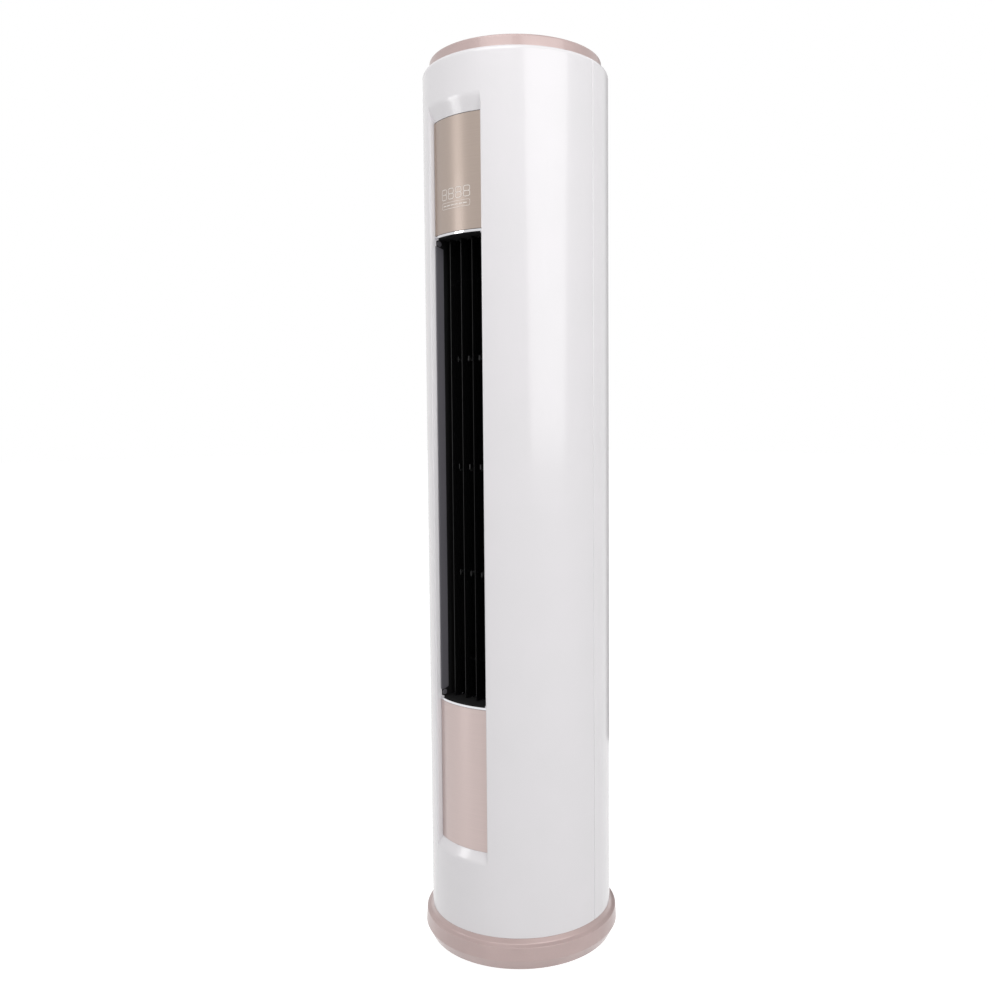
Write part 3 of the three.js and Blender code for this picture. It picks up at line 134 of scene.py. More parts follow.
def per_metre(millimetres: float) -> float:
    """Scale of a procedural pattern whose cells are this many millimetres wide."""
    return 1000 / millimetres


def fill(tree: Tree, node: bpy.types.Node, **inputs: object) -> None:
    """Fills or links a node's inputs.

    Args:
        tree: The node's tree.
        node: The node.
        inputs: Value or output socket for each input, by name with _ for a space, or by i0, i1.
    """
    for name, value in inputs.items():
        key = int(name[1:]) if name[0] == "i" and name[1:].isdigit() else name.replace("_", " ")
        if isinstance(value, Socket):
            tree.links.new(value, node.inputs[key])
        else:
            node.inputs[key].default_value = value


def add(
    tree: Tree, kind: str, settings: dict[str, object] | None = None, **inputs: object
) -> bpy.types.Node:
    """Adds a node, sets its properties and fills or links its inputs.

    Args:
        tree: Node tree that takes the node.
        kind: Blender's node type.
        settings: Properties of the node itself.
        inputs: Its inputs, as fill takes them.

    Returns:
        The new node.
    """
    node = tree.nodes.new(kind)
    for name, value in (settings or {}).items():
        setattr(node, name, value)
    fill(tree, node, **inputs)
    return node


def maths(tree: Tree, operation: str, *values: object) -> Socket:
    """Output of a Math node that works on these values or sockets."""
    inputs = {f"i{i}": value for i, value in enumerate(values)}
    return add(tree, "ShaderNodeMath", {"operation": operation}, **inputs).outputs[0]


@dataclass(frozen=True)
class Canvas:
    """A material being made: its node tree, its shader and the position on the object."""

    tree: Tree
    shader: bpy.types.Node
    place: Socket

    def set(self, **inputs: object) -> None:
        """Fills or links inputs of the shader."""
        fill(self.tree, self.shader, **inputs)

    def noise(self, cell: float, detail: float = 1.0) -> Socket:
        """Cloudy pattern with marks of this many millimetres."""
        pattern = {"Vector": self.place, "Scale": per_metre(cell), "Detail": detail}
        return add(self.tree, "ShaderNodeTexNoise", **pattern).outputs[0]

    def cells(self, cell: float) -> Socket:
        """Crystals of this many millimetres, each with a tone of its own."""
        pattern = {"Vector": self.place, "Scale": per_metre(cell)}
        return add(self.tree, "ShaderNodeTexVoronoi", **pattern).outputs["Color"]

    def vary(self, factor: Socket, low: str, high: str, rough: Span | None = None) -> None:
        """Drives the colour, and the roughness where asked, with a pattern.

        Args:
            factor: The pattern, 0 to 1.
            low: Colour at 0.
            high: Colour at 1.
            rough: Roughness at 0 and at 1.
        """
        ends = {"i6": linear(low), "i7": linear(high)}
        mix = add(self.tree, "ShaderNodeMix", {"data_type": "RGBA"}, i0=factor, **ends)
        self.set(Base_Color=mix.outputs[2])
        if rough:
            ends = {"To_Min": rough[0], "To_Max": rough[1]}
            span = add(self.tree, "ShaderNodeMapRange", Value=factor, **ends)
            self.set(Roughness=span.outputs[0])

    def relief(self, height: Socket, depth: float) -> None:
        """Raises the surface by a pattern, to a depth in millimetres."""
        bump = add(self.tree, "ShaderNodeBump", Strength=1.0, Distance=depth * MM, Height=height)
        self.set(Normal=bump.outputs[0])


@dataclass(frozen=True)
class Finish:
    """A surface finish: its slot and base values, with a pattern that each subclass adds."""

    slot: Slot
    name: str
    colour: str
    roughness: float
    metallic: float = 0.0
    coat: float = 0.0
    coat_roughness: float = 0.05

    def material(self) -> bpy.types.Material:
        """Builds the material once and gives the same one afterwards.

        Returns:
            The material.
        """
        known = bpy.data.materials.get(self.name)
        if known:
            return known
        material = bpy.data.materials.new(self.name)
        material.use_nodes = True
        tree = material.node_tree
        place = add(tree, "ShaderNodeTexCoord").outputs["Object"]
        canvas = Canvas(tree, tree.nodes["Principled BSDF"], place)
        canvas.set(
            Base_Color=linear(self.colour), Roughness=self.roughness, Metallic=self.metallic,
            Coat_Weight=self.coat, Coat_Roughness=self.coat_roughness,
        )
        self.pattern(canvas)
        return material

    def pattern(self, on: Canvas) -> None:
        """Adds the finish's own pattern to the material being made."""

    def shade(self, share: float) -> str:
        """The finish's colour times a share, kept within white, as hex."""
        parts = [min(255, round(int(self.colour[i:i + 2], 16) * share)) for i in (1, 3, 5)]
        return "#" + "".join(f"{part:02x}" for part in parts)

    def rough(self, less: float, more: float) -> Span:
        """Roughness this much under and this much over the finish's own."""
        return self.roughness - less, self.roughness + more


class Moulded(Finish):
    """Gloss ABS from a polished mould: a deep even gloss over a very slight long waviness."""

    def pattern(self, on: Canvas) -> None:
        """Flow marks of the mould about 90 mm long: tone and gloss drift with them."""
        on.set(IOR=1.53)
        on.vary(on.noise(90), self.colour, self.shade(0.985), self.rough(0, 0.03))


class Textured(Finish):
    """Moulded plastic with a spark-eroded grain: soft, broken highlights."""

    def pattern(self, on: Canvas) -> None:
        """Grain 0.9 mm across, coarser than the real 0.2 mm so that it shows, and 0.03 mm deep.

        Args:
            on: The material being made.
        """
        on.set(IOR=1.5)
        grain = on.noise(0.9, 3.0)
        on.vary(grain, self.colour, self.shade(0.86), self.rough(0.06, 0.1))
        on.relief(grain, 0.03)


class MetallicPaint(Finish):
    """Sprayed metallic paint under lacquer: aluminium flake that glitters faintly."""

    def pattern(self, on: Canvas) -> None:
        """Flake cells 0.7 mm wide under a long, slow change of tone."""
        tone = maths(on.tree, "MULTIPLY_ADD", on.cells(0.7), 0.35, on.noise(55))
        on.vary(tone, self.colour, self.shade(0.93), self.rough(0.04, 0.06))


class Brushed(Finish):
    """Metal film brushed along the panel's curve: fine level lines that stretch highlights."""

    def pattern(self, on: Canvas) -> None:
        """Brush lines 0.8 mm apart and about 90 mm long, drawn coarser than the real 0.2 mm.

        Args:
            on: The material being made.
        """
        upright = add(on.tree, "ShaderNodeCombineXYZ", Z=1.0)
        on.set(Anisotropic=0.85, Tangent=upright.outputs[0])
        scale = (per_metre(90), per_metre(90), per_metre(0.8))
        drawn = add(on.tree, "ShaderNodeMapping", Vector=on.place, Scale=scale)
        lines = add(
            on.tree, "ShaderNodeTexNoise", Vector=drawn.outputs[0], Scale=1.0, Detail=3.0
        ).outputs[0]
        on.vary(lines, self.shade(0.955), self.shade(1.03), self.rough(0.07, 0.07))
        on.relief(lines, 0.012)


class Galvanised(Finish):
    """Zinc-coated sheet: flat crystals of spangle, each with a tone of its own."""

    def pattern(self, on: Canvas) -> None:
        """Spangle cells about 11 mm across."""
        on.vary(on.cells(11), self.colour, self.shade(0.84), self.rough(0.08, 0.12))


class Drawn(Finish):
    """Drawn or rolled bare metal: faint tarnish in patches over fine scratches."""

    def pattern(self, on: Canvas) -> None:
        """Tarnish patches about 18 mm across."""
        on.vary(on.noise(18, 4.0), self.colour, self.shade(0.78), self.rough(0.05, 0.15))


class Plated(Finish):
    """Bright nickel-chrome plate on plastic: mirror-like, very slightly wavy."""

    def pattern(self, on: Canvas) -> None:
        """Waviness 25 mm long and 0.02 mm deep.

        Args:
            on: The material being made.
        """
        waves = on.noise(25)
        on.relief(waves, 0.02)
        on.vary(waves, self.colour, self.shade(0.95))


class SolderMask(Finish):
    """Printed circuit board: green lacquer over copper tracks 1 mm wide."""

    def pattern(self, on: Canvas) -> None:
        """Tracks on a 3 mm grid that show through the lacquer.

        Args:
            on: The material being made.
        """
        grid = {"Vector": on.place, "Scale": per_metre(3)}
        tracks = add(on.tree, "ShaderNodeTexVoronoi", {"distance": "MANHATTAN"}, **grid)
        on.vary(tracks.outputs["Distance"], self.shade(0.7), self.colour)


class Netting(Finish):
    """Woven nylon net: threads 2 mm apart, drawn coarser than the real 0.8 mm so that they show."""

    def pattern(self, on: Canvas) -> None:
        """Two crossing sets of threads, level and upright.

        Args:
            on: The material being made.
        """
        wave = {"Vector": on.place, "Scale": per_metre(2) / 20 * math.pi, "Distortion": 0.0}
        threads = [
            add(on.tree, "ShaderNodeTexWave", {"bands_direction": axis}, **wave).outputs["Fac"]
            for axis in ("X", "Z")
        ]
        net = maths(on.tree, "MAXIMUM", *threads)
        on.vary(net, self.shade(0.35), self.colour)
        on.relief(net, 0.2)


WHITE = Moulded(Slot.WHITE, "gloss_white_abs", "#ebe8eb", 0.2, coat=0.25)
ROSE = MetallicPaint(Slot.ROSE, "rose_gold_paint", "#c1aaa7", 0.4, 0.3, 0.5)
CHAMPAGNE = Brushed(Slot.CHAMPAGNE, "champagne_film", "#b2a298", 0.44, 0.5, 0.1)
ROSE_FILM = Brushed(Slot.BRUSHED, "brushed_rose_film", "#cab8b5", 0.34, 0.5, 0.1)
CHROME = Plated(Slot.CHROME, "bright_plate", "#dcdcdf", 0.07, 1.0)
BLACK_GLOSS = Moulded(Slot.BLACK_GLOSS, "gloss_black_abs", "#0b0b0c", 0.22)
BLACK = Textured(Slot.BLACK, "matt_black_abs", "#0d0d0e", 0.55)
GREY = Moulded(Slot.GREY, "smooth_grey_abs", "#706e74", 0.45)
STEEL = Galvanised(Slot.STEEL, "galvanised_sheet", "#b9bbbd", 0.42, 0.9)
FINS = Drawn(Slot.FINS, "fin_aluminium", "#cfd3d6", 0.36, 0.95)
COPPER = Drawn(Slot.COPPER, "copper_tube", "#c07b52", 0.3, 1.0)
RUBBER = Textured(Slot.RUBBER, "moulded_rubber", "#1f1f20", 0.8)
BOARD = SolderMask(Slot.BOARD, "solder_mask", "#2c6a45", 0.35)
NET = Netting(Slot.NET, "nylon_net", "#8b949c", 0.7)
NODE_FINISH: dict[Slot, Finish] = {
    finish.slot: finish
    for finish in (
        WHITE, ROSE, CHAMPAGNE, ROSE_FILM, CHROME, BLACK_GLOSS, BLACK, GREY, STEEL, FINS, COPPER,
        RUBBER, BOARD, NET,
    )
}
BRIGHT_STEEL = Drawn(Slot.STEEL, "turned_steel", "#c2c3c5", 0.28, 1.0)
ZINC_SCREW = Drawn(Slot.STEEL, "zinc_plated_screw", "#c9c9c6", 0.3, 1.0)
PRINT = Textured(Slot.CHAMPAGNE, "printed_line", "#f4eee9", 0.5)


# ---- mesh tools


def at(radius: float, bearing: float, level: float) -> Vector:
    """Point at a radius and level in millimetres on a bearing about the cabinet's axis."""
    angle = math.radians(bearing)
    return Vector((radius * math.sin(angle), -radius * math.cos(angle), level)) * MM


def swept(length: float, radius: float) -> float:
    """Bearing in degrees that a length along a circle covers."""
    return math.degrees(length / radius)


def steps(low: float, high: float, size: float) -> list[float]:
    """Evenly spaced values from low to high, no further apart than size."""
    count = max(1, math.ceil(abs(high - low) / size - 1e-9))
    return [low + (high - low) * i / count for i in range(count + 1)]


def round_off(away: float, ease: float) -> float:
    """How far a rounded edge lies inwards, this far from its end and with this radius."""
    return 0.0 if away >= ease else ease - math.sqrt(max(0.0, ease ** 2 - (ease - away) ** 2))


def rounded(corners: Corners, fine: int = 4) -> list[Point]:
    """Rounds the corners of a closed outline.

    Args:
        corners: Two coordinates and the corner's radius, in order round the outline.
        fine: Segments in each rounded corner.

    Returns:
        The outline's points.
    """
    points: list[Point] = []
    for i, (x, y, radius) in enumerate(corners):
        if radius <= 0:
            points.append((x, y))
            continue
        here = Vector((x, y))
        back = Vector(corners[i - 1][:2]) - here
        ahead = Vector(corners[(i + 1) % len(corners)][:2]) - here
        wanted = radius / math.tan(back.angle(ahead) / 2)
        reach = min(wanted, 0.49 * back.length, 0.49 * ahead.length)
        start, end = here + back.normalized() * reach, here + ahead.normalized() * reach
        for k in range(fine + 1):
            t = k / fine
            curve = start * (1 - t) ** 2 + here * 2 * t * (1 - t) + end * t ** 2
            points.append((curve.x, curve.y))
    return points


def disc(radius: float, x: float = 0, y: float = 0, count: int = 24) -> list[Point]:
    """Points of a circle."""
    turns = [2 * math.pi * i / count for i in range(count)]
    return [(x + radius * math.cos(turn), y + radius * math.sin(turn)) for turn in turns]


def linked(name: str, data: bpy.types.ID) -> Piece:
    """Makes an object and links it to the scene.

    Args:
        name: The object's name.
        data: Its mesh, camera or lamp.

    Returns:
        The new object.
    """
    thing = bpy.data.objects.new(name, data)
    bpy.context.scene.collection.objects.link(thing)
    return thing


def finished(
    bm: Mesh, name: str, outward: bool = False, merge: bool = True, sharp: float = SHARP
) -> Piece:
    """Turns a bmesh into an object with smooth faces and sharp edges.

    Args:
        bm: The mesh, which is freed.
        name: The object's name.
        outward: Whether the faces are turned outwards first.
        merge: Whether points at one place become one.
        sharp: Angle in degrees past which an edge is sharp.

    Returns:
        The new object.
    """
    if merge:
        bmesh.ops.remove_doubles(bm, verts=bm.verts, dist=1e-6)
        bmesh.ops.dissolve_degenerate(bm, edges=bm.edges, dist=1e-6)
    if outward:
        bmesh.ops.recalc_face_normals(bm, faces=bm.faces)
    for face in bm.faces:
        face.smooth = True
    mesh = bpy.data.meshes.new(name)
    bm.to_mesh(mesh)
    bm.free()
    mesh.set_sharp_from_angle(angle=math.radians(sharp))
    return linked(name, mesh)


def baked(piece: Piece) -> Piece:
    """Applies a piece's modifiers, marks its sharp edges and weights its normals by face area.

    Args:
        piece: The piece with its modifiers.

    Returns:
        The same object with a plain mesh.
    """
    graph = bpy.context.evaluated_depsgraph_get()
    rough = piece.data
    piece.data = bpy.data.meshes.new_from_object(piece.evaluated_get(graph), depsgraph=graph)
    piece.data.name = piece.name
    piece.modifiers.clear()
    bpy.data.meshes.remove(rough)
    piece.data.set_sharp_from_angle(angle=math.radians(SHARP))
    piece.modifiers.new("area_weighted_normals", "WEIGHTED_NORMAL").keep_sharp = True
    return piece


def eased(piece: Piece, width: float, angle: float = 50) -> Piece:
    """Rounds a piece's sharp edges and bakes the result.

    Args:
        piece: The piece.
        width: Width of the rounding in millimetres.
        angle: Angle in degrees past which an edge is rounded.

    Returns:
        The same object.
    """
    bevel = piece.modifiers.new("eased_edges", "BEVEL")
    bevel.width = width * MM
    bevel.segments = 2
    bevel.limit_method = "ANGLE"
    bevel.angle_limit = math.radians(angle)
    return baked(piece)


def lofted(bm: Mesh, rings: list[list[bmesh.types.BMVert]], closed: bool = False) -> None:
    """Joins rings of points with quads.

    Args:
        bm: The mesh that takes the faces.
        rings: Rings of equally many points.
        closed: Whether the last ring meets the first; if not, both ends get a cap.
    """
    for one, two in zip(rings, rings[1:] + rings[:1] if closed else rings[1:]):
        for i in range(len(one)):
            j = (i + 1) % len(one)
            bm.faces.new((one[i], two[i], two[j], one[j]))
    if not closed:
        bm.faces.new(rings[0])
        bm.faces.new(rings[-1][::-1])


def revolved(bm: Mesh, profile: Sequence[Point], count: int) -> None:
    """Adds a body of revolution, given by radius and height, in this many steps round its axis."""
    rings = [[bm.verts.new(at(r, 360 * k / count, z)) for k in range(count)] for r, z in profile]
    lofted(bm, rings, closed=profile[0][0] > 0)


def turned(name: str, profile: Sequence[Point], count: int = 144) -> Piece:
    """Body of revolution about the cabinet's axis.

    Args:
        name: The object's name.
        profile: Closed outline of radius and height in millimetres.
        count: Steps round the axis.

    Returns:
        The new object.
    """
    bm = bmesh.new()
    revolved(bm, profile, count)
    return baked(finished(bm, name, outward=True))


def prism(
    bm: Mesh, outline: Sequence[Point], low: float, high: float, upright: bool = True
) -> None:
    """Adds a closed prism to a bmesh.

    Args:
        bm: The mesh that takes it.
        outline: Points in millimetres: X and Y if it stands upright, Y and Z if it lies along X.
        low: Where it starts along its axis.
        high: Where it ends.
        upright: Whether it stands upright.
    """
    lofted(bm, [
        [bm.verts.new(Vector((a, b, c) if upright else (c, a, b)) * MM) for a, b in outline]
        for c in (low, high)
    ])


def extruded(name: str, outline: Sequence[Point], low: float, high: float) -> Piece:
    """Upright prism as an object of its own.

    Args:
        name: The object's name.
        outline: X and Y of its points in millimetres.
        low: Its lowest level.
        high: Its highest level.

    Returns:
        The new object.
    """
    bm = bmesh.new()
    prism(bm, outline, low, high)
    return finished(bm, name, outward=True)


def curved_plate(
    name: str, radii: Span, sides: Span, levels: Span, edge: float, step: float = 1.5
) -> Piece:
    """Plate bent round the cabinet's axis, with its edges eased.

    Args:
        name: The object's name.
        radii: Inner and outer radius in millimetres.
        sides: First and last bearing.
        levels: Lowest and highest level.
        edge: Width of the eased edge.
        step: Bearing between two columns of points.

    Returns:
        The new object.
    """
    (near, far), (low, high) = radii, levels
    corners = [(near, low, 0), (far, low, edge), (far, high, edge), (near, high, 0)]
    outline = rounded(corners, fine=3)
    bm = bmesh.new()
    lofted(bm, [[bm.verts.new(at(r, b, z)) for r, z in outline] for b in steps(*sides, step)])
    return eased(finished(bm, name, outward=True), edge, 60)


@dataclass
class Recess:
    """A recess in a round wall: its bearings and levels, and its depth at each level."""

    sides: Span
    levels: Span
    depth: Callable[[float], float]
    ease: float

    def drop(self, bearing: float, level: float, radius: float) -> float:
        """How far the wall lies inwards at a place, with the recess's upright edges eased.

        Args:
            bearing: Bearing of the place.
            level: Its level.
            radius: The wall's radius there.

        Returns:
            The distance in millimetres.
        """
        if not self.levels[0] < level < self.levels[1]:
            return 0.0
        deep = self.depth(level)
        if self.sides[0] < bearing < self.sides[1]:
            return deep
        away = math.radians(min(abs(bearing - side) for side in self.sides)) * radius
        return round_off(away, min(self.ease, deep / 2))


@dataclass
class RoundWall:
    """A moulded wall round the cabinet's axis, with recesses, openings and eased upright ends.

    rows holds the radius and level of each row of points, and the wall's own radius comes first.
    """

    sides: Span
    rows: list[Point]
    openings: list[tuple[Span, Span]]
    end_ease: float
    wall: float = 2.6
    recesses: Sequence[Recess] = ()
    pitch: float = 1.5
    nudge: float = 1e-5

    @property
    def radius(self) -> float:
        """Radius of the upright part."""
        return self.rows[0][0]

    def bearings(self) -> list[float]:
        """Bearings of the columns, doubled at each recess's side and denser on eased edges.

        Returns:
            The bearings in order.
        """
        found = set(steps(*self.sides, self.pitch))
        edges = [(self.sides[0], self.end_ease, 1), (self.sides[1], self.end_ease, -1)]
        for recess in self.recesses:
            edges += [(recess.sides[0], recess.ease, -1), (recess.sides[1], recess.ease, 1)]
            found |= {side + way * self.nudge for side in recess.sides for way in (-1, 1)}
        for side, ease, way in edges:
            found |= {side + way * swept(ease, self.radius) * share for share in EASE_SHARES}
        for opening, _ in self.openings:
            found |= set(opening)
        return sorted(b for b in found if self.sides[0] - 1e-9 <= b <= self.sides[1] + 1e-9)

    def levels(self) -> list[Point]:
        """Radius and level of the rows, doubled at each step of a recess.

        Returns:
            The rows from the lowest up.
        """
        found = {z: r for r, z in self.rows}
        for recess in self.recesses:
            for z in recess.levels:
                found[z - self.nudge] = found[z + self.nudge] = self.radius
        for _, opening in self.openings:
            for z in opening:
                found.setdefault(z, self.radius)
        return [(found[z], z) for z in sorted(found)]

    def spot(self, bearing: float, radius: float, z: float) -> Vector:
        """Place of a column's point in a row, set back by recesses and rounded ends.

        Args:
            bearing: The column's bearing.
            radius: The row's radius.
            z: The row's level.

        Returns:
            The place in metres.
        """
        away = [math.radians(abs(bearing - end)) * self.radius for end in self.sides]
        drops = [round_off(distance, self.end_ease) for distance in away]
        drops += [recess.drop(bearing, z, radius) for recess in self.recesses]
        return at(radius - max(drops), bearing, z)

    def build(self, name: str) -> Piece:
        """Builds the wall with its thickness inwards.

        Args:
            name: The object's name.

        Returns:
            The new object.
        """
        bm = bmesh.new()
        bearings, levels = self.bearings(), self.levels()
        grid = [[bm.verts.new(self.spot(b, radius, z)) for b in bearings] for radius, z in levels]
        for i in range(len(levels) - 1):
            z = (levels[i][1] + levels[i + 1][1]) / 2
            for j in range(len(bearings) - 1):
                bearing = (bearings[j] + bearings[j + 1]) / 2
                if not any(a < bearing < b and c < z < d for (a, b), (c, d) in self.openings):
                    one, two = grid[i], grid[i + 1]
                    bm.faces.new((one[j], one[j + 1], two[j + 1], two[j]))
        loose = [v for v in bm.verts if not v.link_faces]
        bmesh.ops.delete(bm, geom=loose, context="VERTS")
        piece = finished(bm, name)
        solidify = piece.modifiers.new("wall", "SOLIDIFY")
        solidify.thickness = self.wall * MM
        solidify.offset = -1
        return baked(piece)


SOCKET_KINDS = {Piece: "Object", bpy.types.Material: "Material", int: "Int", float: "Float"}


def copied(
    name: str, values: dict[str, object], place: Callable[[Tree, Outputs], tuple[Socket, Socket]]
) -> Piece:
    """Copies a template with a Geometry Nodes tree and keeps the result as a plain mesh.

    Args:
        name: The new object's name.
        values: Value of each named input: Template, Finish and those that place reads.
        place: Adds the nodes that give the copies' points and rotations.

    Returns:
        One plain object with every copy. The objects among the values are used up.
    """
    tree = bpy.data.node_groups.new(f"{name}_tree", "GeometryNodeTree")
    for title, value in values.items():
        kind = next(kind for sort, kind in SOCKET_KINDS.items() if isinstance(value, sort))
        tree.interface.new_socket(title, in_out="INPUT", socket_type=f"NodeSocket{kind}")
    tree.interface.new_socket("Geometry", in_out="OUTPUT", socket_type="NodeSocketGeometry")
    given = add(tree, "NodeGroupInput").outputs
    points, rotation = place(tree, given)
    template = add(tree, "GeometryNodeObjectInfo", Object=given["Template"]).outputs["Geometry"]
    where = {"Points": points, "Instance": template, "Rotation": rotation}
    copies = add(tree, "GeometryNodeInstanceOnPoints", **where)
    whole = add(tree, "GeometryNodeRealizeInstances", Geometry=copies.outputs[0])
    dressed = add(
        tree, "GeometryNodeSetMaterial", Geometry=whole.outputs[0], Material=given["Finish"]
    )
    add(tree, "NodeGroupOutput", Geometry=dressed.outputs[0])

    carrier = linked(name, bpy.data.meshes.new(name))
    modifier = carrier.modifiers.new("copies", "NODES")
    modifier.node_group = tree
    for item in tree.interface.items_tree:
        if item.in_out == "INPUT":
            modifier[item.identifier] = values[item.name]
    graph, empty = bpy.context.evaluated_depsgraph_get(), carrier.data
    plain = bpy.data.meshes.new_from_object(carrier.evaluated_get(graph), depsgraph=graph)
    plain.name = name
    carrier.modifiers.clear()
    carrier.data = plain
    bpy.data.meshes.remove(empty)
    for value in values.values():
        if isinstance(value, Piece):
            bpy.data.objects.remove(value)
    return carrier


def around_axis(
    name: str, template: Piece, sides: Span, count: int, finish: Finish, axis_y: float = 0.0
) -> Piece:
    """Repeats a template about an upright axis.

    Args:
        name: The new object's name.
        template: Piece at bearing 0 about the axis; it is used up.
        sides: First and last bearing.
        count: Number of copies.
        finish: Finish of the copies.
        axis_y: Y of the axis in millimetres.

    Returns:
        One plain object with every copy.
    """

    def place(tree: Tree, given: Outputs) -> tuple[Socket, Socket]:
        """Adds points on the axis, each turned further than the one before.

        Args:
            tree: The tree.
            given: Its named inputs.

        Returns:
            The points and their rotations.
        """
        axis = add(tree, "ShaderNodeCombineXYZ", Y=given["Axis Y"]).outputs[0]
        line = {"Count": given["Count"], "Start_Location": axis, "Offset": (0, 0, 0)}
        spots = add(tree, "GeometryNodeMeshLine", {"mode": "OFFSET"}, **line)
        index = add(tree, "GeometryNodeInputIndex").outputs[0]
        turn = maths(tree, "MULTIPLY_ADD", index, given["Turn between"], given["First turn"])
        upright = add(tree, "ShaderNodeCombineXYZ", Z=turn).outputs[0]
        return spots.outputs[0], add(tree, "FunctionNodeEulerToRotation", Euler=upright).outputs[0]

    values = {
        "Template": template,
        "Finish": finish.material(),
        "Count": count,
        "First turn": math.radians(sides[0]),
        "Turn between": math.radians((sides[1] - sides[0]) / (count - 1)),
        "Axis Y": axis_y * MM,
    }
    return copied(name, values, place)


def dress(piece: Piece, finish: Finish, *stands_for: str, body: Body = Body.CASING) -> None:
    """Gives a piece its finish's material and its body, and hides the CAD nodes that it stands for.

    Args:
        piece: The new object.
        finish: Its finish, which names the record's slot.
        stands_for: CAD nodes that it replaces.
        body: The body that it rides on.
    """
    material = finish.material()
    if piece.data.materials:
        piece.data.materials[0] = material
    else:
        piece.data.materials.append(material)
    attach(piece, body.value)
    if stands_for:
        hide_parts(*stands_for)
    LOG.info("%s rides on %s in %s", piece.name, body.value, material.name)


# ---- sub-assemblies


@dataclass(frozen=True)
class Sizes:
    """Sizes that more than one sub-assembly shares, in millimetres and degrees."""

    body_radius: float = 190
    shell_bottom: float = 63
    shell_top: float = 1788
    shoulder: float = 10
    seam: float = 95
    seam_gap: float = 1.2
    slot_half: float = 21.95
    slot_bottom: float = 204
    lower_panel_bottom: float = 227
    lower_trim_bottom: float = 515
    outlet_bottom: float = 520
    outlet_top: float = 1447
    display_bottom: float = 1452
    display_top: float = 1674
    slot_top: float = 1708
    panel_radius: float = 179
    panel_back: float = 176.4
    panel_edge: float = 0.4
    shadow_gap: float = 0.15
    duct_half: float = 66.31
    vane_axis_y: float = -126
    fan_axis_y: float = -18
    fit: float = 0.3
    cover_ease: float = 0.8


S = Sizes()


